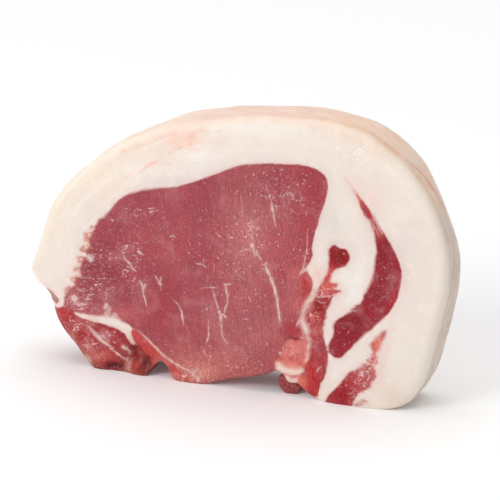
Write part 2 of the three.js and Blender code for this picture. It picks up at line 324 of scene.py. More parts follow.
# Veins of fat in the lean: strength, half width at each end, then x, z along the line
VEINS = [
    (1.0, 0.75, 0.4, [(12.2, 46.6), (13.4, 44), (14.8, 41.4), (16, 38),
                      (16.8, 34.5), (17.4, 30), (17.9, 25.6)]),
    (0.6, 0.5, 0.3, [(11, 46.2), (12.4, 46.4), (13.2, 47.6)]),
    (0.35, 0.4, 0.35, [(7.2, 62), (7.5, 58), (7.6, 54)]),
    (0.75, 0.6, 0.4, [(7.6, 54), (7.9, 52), (8.6, 49.4)]),
    (0.55, 0.4, 0.3, [(8.2, 49.2), (9.6, 49.8), (11.4, 47.4)]),
    (0.75, 0.6, 0.3, [(14.6, 69), (14.9, 66), (15.6, 62.5), (16, 60)]),
    (0.3, 0.4, 0.2, [(12.6, 74), (14, 70.4), (14.6, 68)]),
    (0.25, 0.3, 0.25, [(3.6, 70), (4, 66), (4.4, 62)]),
    (0.7, 0.3, 0.5, [(-7, 35.6), (-6.2, 33), (-5.4, 30.4), (-4.6, 28)]),
    (1.0, 0.8, 0.4, [(-4.5, 27.8), (-4, 26.4), (-3.7, 23.6)]),
    (0.6, 0.4, 0.25, [(-3.7, 23.6), (-3.5, 20), (-2.6, 17.4), (-1.4, 15.8)]),
    (0.9, 0.45, 0.35, [(-4, 26.6), (-2.8, 26.5), (-1.7, 25.6)]),
    (0.8, 0.4, 0.45, [(-2.6, 26.6), (-2, 29), (-1.4, 31), (-1.5, 34), (-2, 37.6)]),
    (0.9, 0.35, 0.2, [(-2.8, 37.6), (-1.4, 37.6), (0.4, 38.2)]),
    (0.7, 0.2, 0.25, [(-11.8, 34.6), (-9, 35.6), (-7, 35.9), (-4.6, 35.9)]),
    (0.6, 0.3, 0.35, [(-13, 43.9), (-11.4, 43.7), (-10, 43.8)]),
    (0.6, 0.35, 0.25, [(-10, 43.8), (-9.6, 43.2), (-8.8, 42.6)]),
    (0.4, 0.25, 0.25, [(-10, 46), (-9.9, 45), (-9.8, 44)]),
    (0.55, 0.3, 0.3, [(6.4, 34.4), (7, 33.4), (7.4, 32.6)]),
    (0.4, 0.25, 0.25, [(0.6, 43.8), (2.4, 42), (4.2, 40.6), (5.4, 40)]),
    (0.45, 0.3, 0.3, [(3, 49.6), (4.6, 50.8), (6.4, 51.2), (8, 50.2)]),
    (0.8, 0.2, 0.35, [(-8.4, 24), (-8.1, 21), (-8.3, 18), (-9, 15.4)]),
    (0.5, 0.3, 0.25, [(-10, 13), (-9.6, 11), (-8.6, 10.2)]),
    (0.8, 0.2, 0.45, [(-22, 30), (-20, 28.5), (-18.5, 26), (-17.8, 22.5), (-17.5, 20.6)]),
    (0.75, 0.35, 0.45, [(-40.4, 44), (-39, 42), (-36.8, 40), (-34.8, 37.8)]),
    (0.9, 0.5, 0.6, [(-33.4, 34.6), (-32.6, 32.6), (-32.6, 30.4)]),
    (0.7, 0.4, 0.5, [(-31.6, 34), (-32, 33), (-32.4, 32)]),
    (0.85, 0.45, 0.2, [(-32.6, 30.4), (-32, 28), (-31.2, 25.4)]),
    (0.7, 0.25, 0.5, [(-28.2, 37.5), (-27, 36), (-26.2, 34.4)]),
    (0.6, 0.4, 0.2, [(-25.8, 37.6), (-26.2, 35), (-26, 32)]),
    (0.45, 0.25, 0.3, [(-46.5, 31), (-46.4, 28.4), (-46.8, 26)]),
    (0.8, 0.2, 0.35, [(27.4, 60), (27.2, 54), (26.8, 51), (26, 48)]),
    (0.9, 0.9, 0.35, [(29, 48), (27, 46.6), (24.8, 45)]),
    (0.7, 0.4, 0.3, [(26.4, 48.4), (26, 46.6), (24.6, 44)]),
    (0.8, 0.5, 0.3, [(26.6, 27), (24.6, 28.4), (23.8, 25.6)]),
    (0.8, 0.35, 0.3, [(30.4, 37), (33, 37.6), (36, 38.4), (38, 39.4)]),
    (0.5, 0.3, 0.3, [(31, 39.6), (34, 40.4), (36.4, 41)]),
    (0.5, 0.5, 0.4, [(42.2, 33.4), (43.4, 34.2), (44.8, 33.8)]),
    (0.7, 0.3, 0.25, [(31, 10.4), (32, 12), (33.4, 13)]),
    (1.0, 0.8, 0.6, [(-41.2, 9.6), (-39.9, 8.9), (-39, 7.9), (-38.9, 6.4)]),
    (0.95, 0.4, 0.35, [(-34.3, 45.9), (-33.4, 45.2), (-32.4, 44.6)]),
    (0.7, 0.25, 0.2, [(-30.4, 61.3), (-29, 61.7), (-27.8, 62)]),
    (0.85, 0.35, 0.25, [(-30, 60), (-29, 60.4), (-28.2, 60.8)]),
    (0.6, 0.25, 0.2, [(-27.9, 60.5), (-26.8, 61.3)]),
    (0.8, 0.35, 0.25, [(-44.4, 55.9), (-43.4, 55.2)]),
    (0.8, 0.35, 0.3, [(-22.4, 52.2), (-21, 52.8), (-20.2, 52)]),
    (0.6, 0.25, 0.2, [(30.4, 36.4), (32.6, 35.2), (34.8, 36)]),
    (0.5, 0.25, 0.2, [(28, 31.6), (29.6, 30.4), (32, 30.2)]),
    (0.7, 0.4, 0.3, [(-49, 12.8), (-47.5, 11.9), (-46, 10.6)]),
    (0.9, 0.45, 0.35, [(-46, 8.6), (-44, 7.4), (-42, 6), (-40, 4.5), (-39, 3.4)]),
    (0.9, 0.5, 0.55, [(-36.6, 17), (-34, 16), (-31, 13.4), (-28.4, 11.2), (-25.4, 8.4),
                      (-22, 6.8), (-19, 5.4), (-16, 4.2), (-11.6, 2.2)]),
    (0.55, 0.3, 0.3, [(50, 66.4), (51, 64), (52.4, 61.4)]),
    (0.45, 0.25, 0.3, [(51.4, 66), (52.4, 63.8), (53.6, 61.8)]),
    (0.5, 0.5, 0.3, [(-48.6, 12.6), (-47, 12.4), (-45.4, 11.6)]),
    (0.7, 0.4, 0.3, [(-58, 28.9), (-56, 28.6), (-53.6, 28.9)]),
    (0.8, 0.3, 0.3, [(-53.8, 27.4), (-52.6, 27.4), (-51.4, 27.9)]),
    (0.6, 0.25, 0.25, [(-55.6, 25.3), (-54, 25.6), (-51.8, 26.2)]),
    (0.5, 0.3, 0.25, [(-57.6, 22.8), (-55.4, 23.6), (-53.4, 23.9)]),
    (0.5, 0.25, 0.25, [(-56, 33.2), (-53.4, 33.8), (-51.4, 33.6)]),
]

# How veins and drawn lines wander and thin, and the depth given to what lies well outside them
VEIN_SWING = 0.45
DRAWN_SWING = 0.2
WANDER = 0.22
WANDER_RUN = 2.4
SWING_RUN = 1.7
TIP_WIDTH = 0.35
TIP_RUN = 0.15
OUTSIDE = 4.0

# White patches in the lean: x, z, radius, strength
PATCHES = [
    (-46.4, 23.4, 2.2, 0.75),
    (-46.4, 21.4, 1.6, 0.65),
    (-43.6, 20.8, 1.6, 0.6),
    (-59, 25.2, 2.0, 0.95),
    (-26.4, 34.8, 0.9, 0.7),
    (-12.2, 2.2, 1.2, 0.8),
    (-17.7, 0.7, 0.7, 0.8),
    # Painted highlight on the knob, drawn as a white patch
    (17.8, 15.2, 0.8, 0.8),
    (-52.4, 41, 2.0, 0.8),
    (-57, 34.4, 1.6, 0.8),
]

# Lean drawn over the fat, as the half width at either end and the line
LEAN_LINES = [
    (0.8, 0.3, [(36.4, 40.2), (38, 40.2), (39.6, 40.6)]),
    (0.9, 0.3, [(35.6, 42), (37, 42.4), (38.4, 42.8)]),
    (1.6, 1.2, [(-31, 0.6), (-29.6, 3.4), (-28, 5)]),
    (0.5, 0.2, [(45, 1.3), (46.6, 1.7), (48, 2.6), (49.4, 2.5)]),
    (0.9, 0.8, [(-39.2, -0.6), (-39.2, 3), (-38.8, 5.6)]),
]

# Areas of lean drawn over the fat, as x, z round the edge
LEAN_AREAS = [
    [(-70.4, 27.4), (-68, 26.8), (-64.8, 23.9), (-66, 21.8), (-70, 23)],
]

# Fat drawn over the lean, in the same form
FAT_LINES = [
    (0.8, 0.6, [(-38.4, 15), (-37.6, 13), (-37.2, 10.4)]),
    (0.2, 0.3, [(28.2, 20), (27.8, 17.8)]),
    (0.3, 0.2, [(27.9, 16.8), (27.6, 14.8), (27, 13.4)]),
    (0.6, 0.4, [(27.6, 25.6), (27, 24.8), (26.4, 23.8)]),
]

# Step and rounding of drawn areas
AREA_STEP = 0.2
AREA_ROUNDING = 0.3

# Areas of fat drawn over the lean, as x, z round the edge
FAT_AREAS = [
    [(16.1, 9), (16.2, 11.6), (17.4, 12), (18.6, 10.7), (20.6, 10.4), (23.6, 10.5), (26.4, 11),
     (26.6, 10), (24.6, 8.3), (22.5, 7.7), (20.5, 7.9), (18.5, 8)],
    [(18.6, 5.2), (19.4, 7), (20.6, 7.3), (21.6, 7.4), (22.6, 6.9),
     (24.2, 7.4), (24.4, 6), (23, 4.4), (20, 4.2)],
    [(35.5, 43.1), (36.2, 46.6), (37.6, 45.4), (38.4, 43.5), (37, 42.9)],
    [(36.2, 41.3), (38.8, 42), (39, 41), (37.2, 40.7)],
]

# Border of lean and fat: how far it and the creases are read, and what counts as a gap between muscles
SEAM_REACH = 12.0
CREASE_REACH = 6.0
LEVEL_REACH = 0.5
BEYOND = 0.7
GAP_REACH = 0.4
GAP_LEAD = 0.3

# Where the lean spreads over its border, or draws back from it: amount, reach, then x, z along the line
SPREADS = [
    (1.2, 1.6, [(-35, 16.4), (-30, 12), (-26, 9), (-20, 5.6), (-14, 2.4)]),
    (1.2, 1.8, [(-40, 19.4), (-37.6, 18.2), (-35, 16.8)]),
    (0.6, 1.6, [(-44, 16), (-40.6, 14.6)]),
    (1.6, 1.6, [(-63, 21.8), (-61, 20.9)]),
    (0.6, 1.6, [(-60, 20.6), (-56, 20.4), (-50, 20.6), (-44, 20.8)]),
    (0.4, 1.2, [(-58.6, 18.2), (-55, 17.2)]),
    (0.6, 1.2, [(-60.4, 21), (-57.4, 20.7)]),
    (0.7, 1.2, [(-60, 19), (-57, 18)]),
    (0.4, 1.5, [(-55, 16), (-50.5, 12), (-46, 9.4)]),
    (0.35, 2.4, [(28, 38), (25.8, 32), (27, 24.6)]),
    (1.5, 1.8, [(27.6, 22.6), (28.4, 18), (28.2, 12)]),
    (-1.0, 0.9, [(-54.6, 41.8), (-53, 41.4)]),
    (-1.0, 0.9, [(-57.6, 34.6), (-56, 34.4)]),
    (-0.8, 0.8, [(-60, 30.4), (-58.4, 30.4)]),
    (-0.7, 0.8, [(-54, 46), (-52.6, 45.8)]),
    (-0.5, 2.0, [(-46, 60), (-40, 65.5), (-33, 68), (-26, 69.5), (-18, 72), (-12, 75)]),
    (0.5, 1.6, [(58, 52), (59.4, 46), (58, 40), (54, 35), (50, 30)]),
    (0.4, 1.6, [(46, 71), (48.4, 64)]),
    (-0.5, 1.4, [(54.6, 24), (53.6, 18)]),
    (-1.0, 1.0, [(49.6, 15.4), (52.6, 15)]),
    (-0.8, 0.9, [(50, 20.8), (52.4, 20)]),
    (1.0, 1.6, [(-48.6, 55), (-50.6, 51.4), (-52.4, 48)]),
    (0.35, 3.5, [(38.6, 52.6), (38.8, 52.6)]),
    (0.4, 1.0, [(36.6, 56), (37.2, 56.2)]),
    (-0.5, 0.9, [(38.6, 56.2), (39, 56)]),
    (0.45, 1.8, [(37.6, 29), (41, 32), (45, 36.6), (47.4, 39)]),
    (0.9, 2.0, [(39.6, 17.4), (44.6, 23.2), (49, 28)]),
    (0.5, 2.0, [(50, 29), (55, 35), (58, 40)]),
    (-0.7, 1.6, [(49.6, 66), (50.8, 61), (51.2, 56)]),
    (-0.8, 1.6, [(45, 1), (46.6, 4)]),
    (-1.2, 1.6, [(33.2, 5.6), (32.2, 1.6)]),
    (-0.8, 1.4, [(36.8, 38.4), (36, 35), (35, 33)]),
    (-0.7, 1.6, [(30.6, 60), (29.6, 55)]),
    (-0.7, 2.0, [(40, 81), (42, 78)]),
    (-0.3, 2.0, [(43, 77), (45, 74)]),
    (0.8, 1.2, [(28.6, 51.5), (28, 49.5)]),
    (0.7, 1.6, [(36, 2), (39, 6.6), (43, 12)]),
    (0.4, 2.0, [(33.6, 79), (32.4, 69)]),
    (-0.15, 2.0, [(-44, 60), (-31, 68.8), (-20, 71), (-7, 76), (3, 80.4), (20, 82.8), (31, 82)]),
]

# Pale clumps beyond the eye's left border: x, z, half width, half height
FRINGE = [
    (-51.6, 51, 0.9, 1.0),
    (-53.2, 48.2, 1.2, 1.6),
    (-54.4, 44.2, 1.5, 0.9),
    (-55.5, 39.6, 1.3, 1.2),
    (-57, 36.4, 1.6, 0.8),
    (-58.1, 32.4, 1.5, 1.2),
    (-60.2, 28.6, 1.7, 0.8),
    (-61.6, 26, 1.0, 0.9),
]
BITS_PER_CLUMP = 10
BIT_RADIUS = 0.55
BIT_SWING = 0.2
FRINGE_ZONE = (-56, 38, 7, 15)
CLUMP_COLOUR = (210, 146, 130)
FRINGE_EDGE = (204, 112, 104)

# Swelling of the front face and of the flap's edge: x, z, reach across, reach up, height
SWELLINGS = [
    (21.5, 9.4, 5, 1.6, 0.9),
    (21.4, 6.2, 2.4, 1.4, 1.4),
    (13, 7, 4, 1.2, 0.6),
    (22.5, 16, 3.5, 3.5, 0.6),
    (22, 21.2, 4, 0.8, -0.7),
    (38.6, 52.6, 3.4, 3.2, -0.7),
    (-57, 10, 5, 4, 0.6),
    (-48, 5, 4, 2, 0.5),
    (-43.8, 1.5, 3, 1, -1.4),
    (-36, 3, 2, 2, 0.9),
    (-36.6, 7.6, 1.2, 1.4, -0.9),
    (-32, 6, 1.6, 2, -0.8),
    (-47, 18.6, 6, 1.6, 0.4),
    (-36, 70, 10, 4, 0.3),
    (40, 44, 6, 6, 0.35),
]
FULLER_FLAP = [(-64, 14, 6, 8, 1.2), (-56, 4, 4, 5, 1.0)]

# Pink strokes in the fat: half width, strength, then x, z along the line
BLUSHES = [
    (0.9, 0.35, [(-38, 71.4), (-34, 73.4), (-30, 77), (-26, 79.6), (-21, 83), (-14, 86.2)]),
    (0.45, 0.8, [(-36, 71.8), (-33, 74), (-30, 77), (-26, 79.2), (-21, 82.6), (-14, 86)]),
    (0.45, 0.6, [(-39, 81), (-35, 84), (-28, 88)]),
    (0.45, 0.5, [(-20, 84), (-16, 88), (-10, 92)]),
    (0.5, 0.35, [(-52, 68), (-46, 73), (-40, 77)]),
    (0.5, 0.35, [(-44, 66.4), (-39, 71), (-34, 76)]),
    (1.4, 0.35, [(-30, 77), (-26, 77.6), (-22, 78.6)]),
    (1.4, 0.4, [(-40, 80.6), (-34, 83), (-26, 87), (-18, 90)]),
    (3.0, 0.4, [(-22, 85), (-16, 87.6), (-10, 90)]),
    (0.8, 0.2, [(-62, 33), (-60, 45), (-54, 57), (-46, 66), (-40, 71)]),
    (0.8, 0.18, [(-68, 44), (-62, 57), (-52, 69), (-40, 77)]),
    (0.8, 0.3, [(57.6, 36), (57.2, 32), (56, 28)]),
    (2.4, 0.25, [(58, 30), (56, 20), (52, 10)]),
    (1.2, 0.6, [(46, 73.4), (43.6, 76.4), (40, 80)]),
    (2.4, 0.25, [(56, 66), (50, 74), (44, 81)]),
]

# Fat in the strokes, by the lean (a narrow pink edge, and a wider band of painted shade and reddish
# scattered light) and by the skin, and a cool cast over all of it
BLUSH_COLOUR = (247, 186, 162)
LEAN_EDGE = (232, 190, 181)
LEAN_SCATTER_SHADE = (224, 200, 194)
MARGIN_CREAM = (244, 230, 213)
FAT_LIGHT = np.array([0.975, 0.985, 1.0])

# Skin side
SKIN_PEACH = (242, 208, 185)
SKIN_TAN = (234, 196, 162)
SKIN_SALMON = (240, 205, 188)
SKIN_CREAM = (248, 226, 204)
SKIN_BEIGE = (212, 192, 178)
CREASE_PINK = (226, 128, 108)

# Stretches of the skin side, as degrees round the hub where each starts, is full, fades and ends
BEIGE_RUN = (-60.0, -30.0, 15.0, 40.0)
PEACH_RUN = (12.0, 30.0, 55.0, 80.0)
SALMON_RUN = (50.0, 75.0, 100.0, 125.0)
CREAM_RUN = (100.0, 125.0, 180.0, 181.0)
UPPER_EDGE = (32.0, 42.0, 54.0, 66.0)
TOP_EDGE = (54.0, 66.0, 110.0, 125.0)
CREASE_RUN = (14.0, 22.0, 46.0, 54.0)
FOLD_RUN = (50.0, 70.0, 130.0, 160.0)
WRINKLE_RUN = (-40.0, -10.0, 26.0, 40.0)

# Colours of the skin side, each with its stretch
SKIN_ZONES = [
    (BEIGE_RUN, SKIN_BEIGE),
    (PEACH_RUN, SKIN_PEACH),
    (SALMON_RUN, SKIN_SALMON),
    (CREAM_RUN, SKIN_CREAM),
]

# Grey scrap at the neck of the flap: x, z, reach across, reach up
SCRAP = (-66.6, 24.2, 2.4, 2.2)
SCRAP_GREY = (164, 132, 120)

# Foot of the front edge: the height that is let down, its drop and its run to the front
FOOT_HEIGHT = 4.0
FOOT_DROP = 1.0
FOOT_RUN = 0.8

# Zones of the lean and the fat: x, z, reach across, reach up, amount
FLAT_LIE = [(-46, 38, 20, 22, 1.0), (-60, 15, 8, 6, 0.8), (-38, 58, 12, 10, 0.9), (24, 72, 8, 8, 0.6)]
SPECK_DENSITY = [
    (-49, 36, 13, 18, 0.78),
    (-56, 24, 8, 6, 1.1),
    (-50, 31, 9, 6, 0.95),
    (-37, 42, 12, 18, 0.85),
    (-34, 58, 12, 8, 0.8),
    (-22, 52, 8, 10, 0.5),
    (20, 72, 15, 10, 0.9),
    (24, 52, 5, 12, 0.6),
    (0, 46, 30, 28, 0.5),
    (8, 56, 7, 12, 0.8),
    (-5, 10, 24, 8, 0.5),
    (-58, 16, 9, 5, 1.0),
    (-54, 9, 8, 6, 0.85),
    (-47, 13, 6, 4, 1.0),
    (55, 44, 4, 6, 0.6),
    (36, 20, 6, 12, 0.35),
    (22, 16, 4, 5, 0.7),
]
FRAYED_BORDER = [(-57, 36, 6, 16, 0.9), (-50, 51, 5, 6, 0.8), (50, 11, 6, 11, 1.0), (32, 33, 6, 10, 0.45),
                 (45, 36, 8, 12, 0.5), (38, 53, 5, 5, 0.5), (21, 9, 6, 4, 0.5), (-48, 19, 10, 2, 0.4)]
BLOTCHES = [
    (-54, 10, 11, 8, 1.0),
    (22, 14, 6, 7, 0.9),
    (30, 30, 5, 16, 0.7),
    (-22, 4, 9, 5, 0.9),
    (-5, 6, 20, 5, 0.5),
    (52, 40, 6, 14, 0.4),
]
MARBLING = [
    (54, 40.5, 4, 2.4, 0.4),
    (48, 11, 5, 5, 0.8),
    (50.6, 17, 3, 4, 1.2),
    (45, 4, 4, 4, 0.5),
    (33, 39, 5, 3, 0.7),
    (29, 29, 3, 6, 0.6),
    (-14, 3.4, 8, 3, 0.7),
    (50, 66, 3, 5, 0.5),
    (-60, 24, 4, 4, 0.6),
]
# Where the fat's painted highlights gather, and where its lumps rise
GLINT_ZONE = [(44, 89, 12, 5, 1.0), (28, 94, 8, 3, 0.7), (45, 47, 4, 5, 0.5), (62, 66, 6, 8, 0.4)]
STREAKS = [(-52, 62, 22, 26, 1.0), (-18, 86, 24, 9, 0.9), (20, 93, 20, 5, 0.5)]
# Where the joints between muscles darken: partly their own darker red, partly painted shade in the dents
JOINT_AND_SHADE_ZONES = [
    (22, 21.4, 4, 1.6, 1.0),
    (-35.5, 8.4, 4, 3, 0.9),
    (-39.2, 3, 1.4, 4, 0.7),
    (26.8, 9, 1.4, 4, 0.35),
    (17, 14, 2.4, 4, 0.3),
]
SOFT_BORDER = [
    (48, 11, 6, 10, 0.5),
    (50, 46, 4, 16, 0.35),
    (38, 52, 6, 5, 0.2),
    (34, 31, 4, 8, 0.4),
    (43, 77, 4, 6, 0.15),
    (51, 66, 3, 6, 0.4),
    (35, 44, 3, 4, 0.4),
    (53, 24, 3, 6, 0.8),
    (50, 27, 6, 7, 0.5),
    (-57, 36, 6, 16, 0.25),
    (-46, 57, 6, 9, 0.4),
    (-30, 68, 18, 5, 0.35),
    (27, 29, 3, 9, 0.9),
    (24, 17, 6, 6, 0.6),
    (21, 10.6, 6, 1.4, 1.0),
    (-28, 10, 9, 6, 0.4),
    (-50, 13, 8, 4, 0.3),
    (-50, 20.6, 9, 1.4, 0.4),
    (-43, 20.4, 8, 2, 0.8),
]

# Painted shade on the lean's undersides: the share of its colour that is left, and its zones in the same
# form
UNDERSIDE_SHADE_SHARE = 0.45
UNDERSIDE_SHADE_ZONE = [(13, 6, 6, 4, 1.0), (-43, 1, 6, 3, 0.8), (-31, 3, 4, 4, 1.0), (-58, 6, 5, 6, 0.6)]

# Zones that the materials read, by the name of their field
SHARES = {
    "fray": FRAYED_BORDER,
    "soft": SOFT_BORDER,
    "joint_and_shade": JOINT_AND_SHADE_ZONES,
    "blotch": BLOTCHES,
    "marble": MARBLING,
    "lie": FLAT_LIE,
    "speck": SPECK_DENSITY,
    "glint": GLINT_ZONE,
    "streak": STREAKS,
}

# Kind and slot of a mesh attribute, by how many numbers each point has
ATTRIBUTE_KINDS = {1: ("FLOAT", "value"), 3: ("FLOAT_VECTOR", "vector"), 4: ("FLOAT_COLOR", "color")}


# Numbers and colours


def to_linear(colour):
    """Screen colour, 0 to 255, as linear light."""
    share = np.asarray(colour, float) / 255.0
    return np.where(share <= 0.04045, share / 12.92, ((share + 0.055) / 1.055) ** 2.4)


def drawn_to(colours, weight, colour):
    """Colours drawn by a weight at each point towards a screen colour."""
    return colours + weight[:, None] * (to_linear(colour) - colours)


def smoothstep(low, high, value):
    """Smooth rise from 0 at low to 1 at high, or a fall where high is the smaller."""
    share = np.clip((value - low) / (high - low), 0.0, 1.0)
    return share * share * (3.0 - 2.0 * share)


def plateau(value, start, full, fade, end):
    """Smooth rise from start to full, and fall from fade to end."""
    return smoothstep(start, full, value) * smoothstep(end, fade, value)


def bell(flat, x, z, reach_x, reach_z):
    """Bell of height 1 about a place on the section."""
    return np.exp(-(((flat[:, 0] - x) / reach_x) ** 2) - ((flat[:, 1] - z) / reach_z) ** 2)


def bells(flat, rows):
    """One bell for each row of place, reaches and height."""
    return np.array([height * bell(flat, *row) for *row, height in rows])


def hashed(cell, seed):
    """Repeatable number from -1 to 1 at whole-number points of shape (n, 3)."""
    wave = np.sin(cell @ np.array([127.1, 311.7, 74.7]) + seed * 19.19) * 43758.5453
    return 2.0 * (wave - np.floor(wave)) - 1.0


def noise(points, wavelength, seed):
    """Smooth random slopes, about -1 to 1, at points of shape (n, 3)."""
    scaled = points / np.asarray(wavelength, float)
    cell = np.floor(scaled)
    part = scaled - cell
    ease = part * part * part * (part * (6.0 * part - 15.0) + 10.0)
    total = np.zeros(len(points))
    for corner in np.ndindex(2, 2, 2):
        weight = np.prod(np.where(corner, ease, 1.0 - ease), axis=1)
        slope = np.stack([hashed(cell + corner, seed + 0.37 * axis) for axis in range(3)], axis=1)
        total += weight * np.sum(slope * (part - corner), axis=1)
    return 1.6 * total


def without_depth(flat):
    """Section points as x, y, z with no depth."""
    return np.column_stack([flat[:, 0], np.zeros(len(flat)), flat[:, 1]])


# Lines and triangles


def along_line(points, step):
    """Open line resampled at an even step, and the share of its length at each point."""
    points = np.asarray(points, float)
    runs = np.concatenate([[0.0], np.cumsum(np.linalg.norm(np.diff(points, axis=0), axis=1))])
    at = np.linspace(0.0, runs[-1], max(2, int(round(runs[-1] / step)) + 1))
    even = np.stack([np.interp(at, runs, points[:, axis]) for axis in range(2)], axis=1)
    return even, at / runs[-1]


def even_loop(points, step):
    """Closed line resampled at an even step."""
    closed = np.vstack([points, points[:1]])
    return along_line(closed, step)[0][:-1]


def softened_loop(points, step, reach):
    """Closed line with its facets rounded over a reach, resampled at a step."""
    fine = even_loop(points, FINE_STEP)
    spread = int(3 * reach / FINE_STEP)
    offsets = np.arange(-spread, spread + 1)
    weights = np.exp(-0.5 * (offsets * FINE_STEP / reach) ** 2)
    smooth = sum(w * np.roll(fine, -o, axis=0) for o, w in zip(offsets, weights / weights.sum()))
    return even_loop(smooth, step)


def left_of(run):
    """Unit steps to the left of each step of a line."""
    left = np.stack([-run[:, 1], run[:, 0]], axis=1)
    return left / np.maximum(np.linalg.norm(left, axis=1), TINY)[:, None]


def inside_loop(points, loop):
    """Which points lie inside a closed line."""
    x, z = points[:, 0], points[:, 1]
    found = np.zeros(len(points), bool)
    for (ax, az), (bx, bz) in zip(loop, np.roll(loop, -1, axis=0)):
        if az == bz:
            continue
        crosses = (az > z) != (bz > z)
        found ^= crosses & (x < ax + (z - az) * (bx - ax) / (bz - az))
    return found


def nearest(points, samples):
    """Distance to the nearest sample and which one it is, for each point."""
    tree = KDTree(len(samples))
    for index, sample in enumerate(samples):
        tree.insert((sample[0], sample[1], 0.0), index)
    tree.balance()
    found = [tree.find((p[0], p[1], 0.0)) for p in points]
    return np.array([f[2] for f in found]), np.array([f[1] for f in found])


def doubled_area(corners):
    """Twice the area of each triangle, negative where it turns clockwise."""
    side_a = corners[:, 1] - corners[:, 0]
    side_b = corners[:, 2] - corners[:, 0]
    return side_a[:, 0] * side_b[:, 1] - side_a[:, 1] * side_b[:, 0]


def edge_key(a, b):
    """The same name for an edge from either end."""
    return (min(a, b), max(a, b))


# Reading the frame


def node_work(name):
    """Editable copy of a frame node, with its doubled corners joined."""
    work = bmesh.new()
    work.from_mesh(frame["nodes"][name].data)
    bmesh.ops.remove_doubles(work, verts=work.verts, dist=WELD)
    return work


def node_section(name, depth):
    """Outline of a frame node at one depth, as x and z."""
    work = node_work(name)
    cut = bmesh.ops.bisect_plane(
        work,
        geom=[*work.verts, *work.edges, *work.faces],
        plane_co=(0.0, depth * MM, 0.0),
        plane_no=(0.0, 1.0, 0.0),
        clear_inner=True,
        clear_outer=True,
    )
    corners = [v for v in cut["geom_cut"] if isinstance(v, bmesh.types.BMVert)]
    loops = []
    seen = set()
    for start in corners:
        if start in seen:
            continue
        loop = [start]
        seen.add(start)
        while True:
            onward = [e.other_vert(loop[-1]) for e in loop[-1].link_edges]
            onward = [v for v in onward if v not in seen]
            if not onward:
                break
            loop.append(onward[0])
            seen.add(onward[0])
        loops.append(np.array([(v.co.x, v.co.z) for v in loop]) / MM)
    work.free()
    return max(loops, key=len)


def frame_tree(names):
    """All the named nodes as one surface for casting rays, in millimetres."""
    corners = []
    faces = []
    for name in names:
        mesh = frame["nodes"][name].data
        base = len(corners)
        corners.extend(v.co / MM for v in mesh.vertices)
        faces.extend([base + i for i in p.vertices] for p in mesh.polygons)
    return BVHTree.FromPolygons(corners, faces)


def spoke(angle):
    """Unit step out from the hub, as x, y, z."""
    return np.array([math.cos(angle), 0.0, math.sin(angle)])


def hub_point(reach, angle):
    """Point at a reach and an angle from the hub, as x, y, z."""
    return np.array([HUB[0], 0.0, HUB[1]]) + reach * spoke(angle)


def hub_reach(flat):
    """Distance of section points from the hub."""
    return np.linalg.norm(flat - HUB, axis=1)


def hub_turn(flat):
    """Radians round the hub, 0 at the right."""
    return np.arctan2(flat[:, 1] - HUB[1], flat[:, 0] - HUB[0])


def hub_angle(flat):
    """Degrees round the hub, 0 at the right and 90 at the top."""
    return np.degrees(hub_turn(flat))


def read_around(ring, values, points):
    """Values given along a ring, read in the direction of each point from the hub."""
    turn = hub_turn(ring)
    order = np.argsort(turn)
    return np.interp(hub_turn(points), turn[order], values[order], period=2 * math.pi)


def ring_reach(ring, points):
    """Reach of a ring from the hub in the direction of each point."""
    return read_around(ring, hub_reach(ring), points)


def rim_outline(tree):
    """Angles about the hub that space the outer rim evenly, and the reach at each."""
    fan = np.radians(np.arange(0.0, 360.0, FAN_STEP))
    reach = np.zeros(len(fan))
    for index, angle in enumerate(fan):
        hit = tree.ray_cast(Vector(hub_point(FAR, angle)), Vector(-spoke(angle)))[0]
        reach[index] = np.linalg.norm(np.array(hit) - hub_point(0.0, angle))
    reach = np.max([np.roll(reach, shift) for shift in (-2, -1, 0, 1, 2)], axis=0)
    line = HUB + reach[:, None] * np.stack([np.cos(fan), np.sin(fan)], axis=1)
    even = softened_loop(line, RIM_STEP, RIM_ROUNDING)
    return np.unwrap(hub_turn(even)), hub_reach(even)


def farthest_hit(tree, anchor, out, angle):
    """Distance from an anchor to the surface along a line, bridging the narrow seams."""
    best = 0.0
    sideways = np.array([-math.sin(angle), 0.0, math.cos(angle)])
    for shift in (0.0, SEAM_BRIDGE, -SEAM_BRIDGE):
        start = anchor + shift * sideways
        hit = tree.ray_cast(Vector(start + RIM_FAR * out), Vector(-out))[0]
        if hit is not None:
            best = max(best, float(np.dot(np.array(hit) - start, out)))
    return best


def smoothed_grid(values, rounds):
    """Grid that closes on itself along its second axis, with its steps eased."""
    for _ in range(rounds):
        around = 0.5 * (np.roll(values, 1, axis=1) + np.roll(values, -1, axis=1))
        values = 0.5 * values + 0.5 * around
        values[1:-1] = 0.5 * values[1:-1] + 0.25 * (values[:-2] + values[2:])
    return values


def rim_rings(tree, angles, reach):
    """Points of the rim, shape (bands + 1, around, 3), from the front face round to the back one."""
    turns = np.radians(np.linspace(-PROFILE_TURN, PROFILE_TURN, PROFILE_BANDS + 1))
    anchors = [hub_point(r - ANCHOR_INSET, a) for r, a in zip(reach, angles)]
    distance = np.zeros((len(turns), len(angles)))
    for i, angle in enumerate(angles):
        for k, turn in enumerate(turns):
            out = math.cos(turn) * spoke(angle) + np.array([0.0, math.sin(turn), 0.0])
            distance[k, i] = farthest_hit(tree, anchors[i], out, angle)
    distance = smoothed_grid(distance, GRID_ROUNDS)
    rings = np.zeros((len(turns), len(angles), 3))
    for i, angle in enumerate(angles):
        outs = np.cos(turns)[:, None] * spoke(angle) + np.sin(turns)[:, None] * np.array([0.0, 1.0, 0.0])
        rings[:, i] = anchors[i] + distance[:, i, None] * outs
    return rings


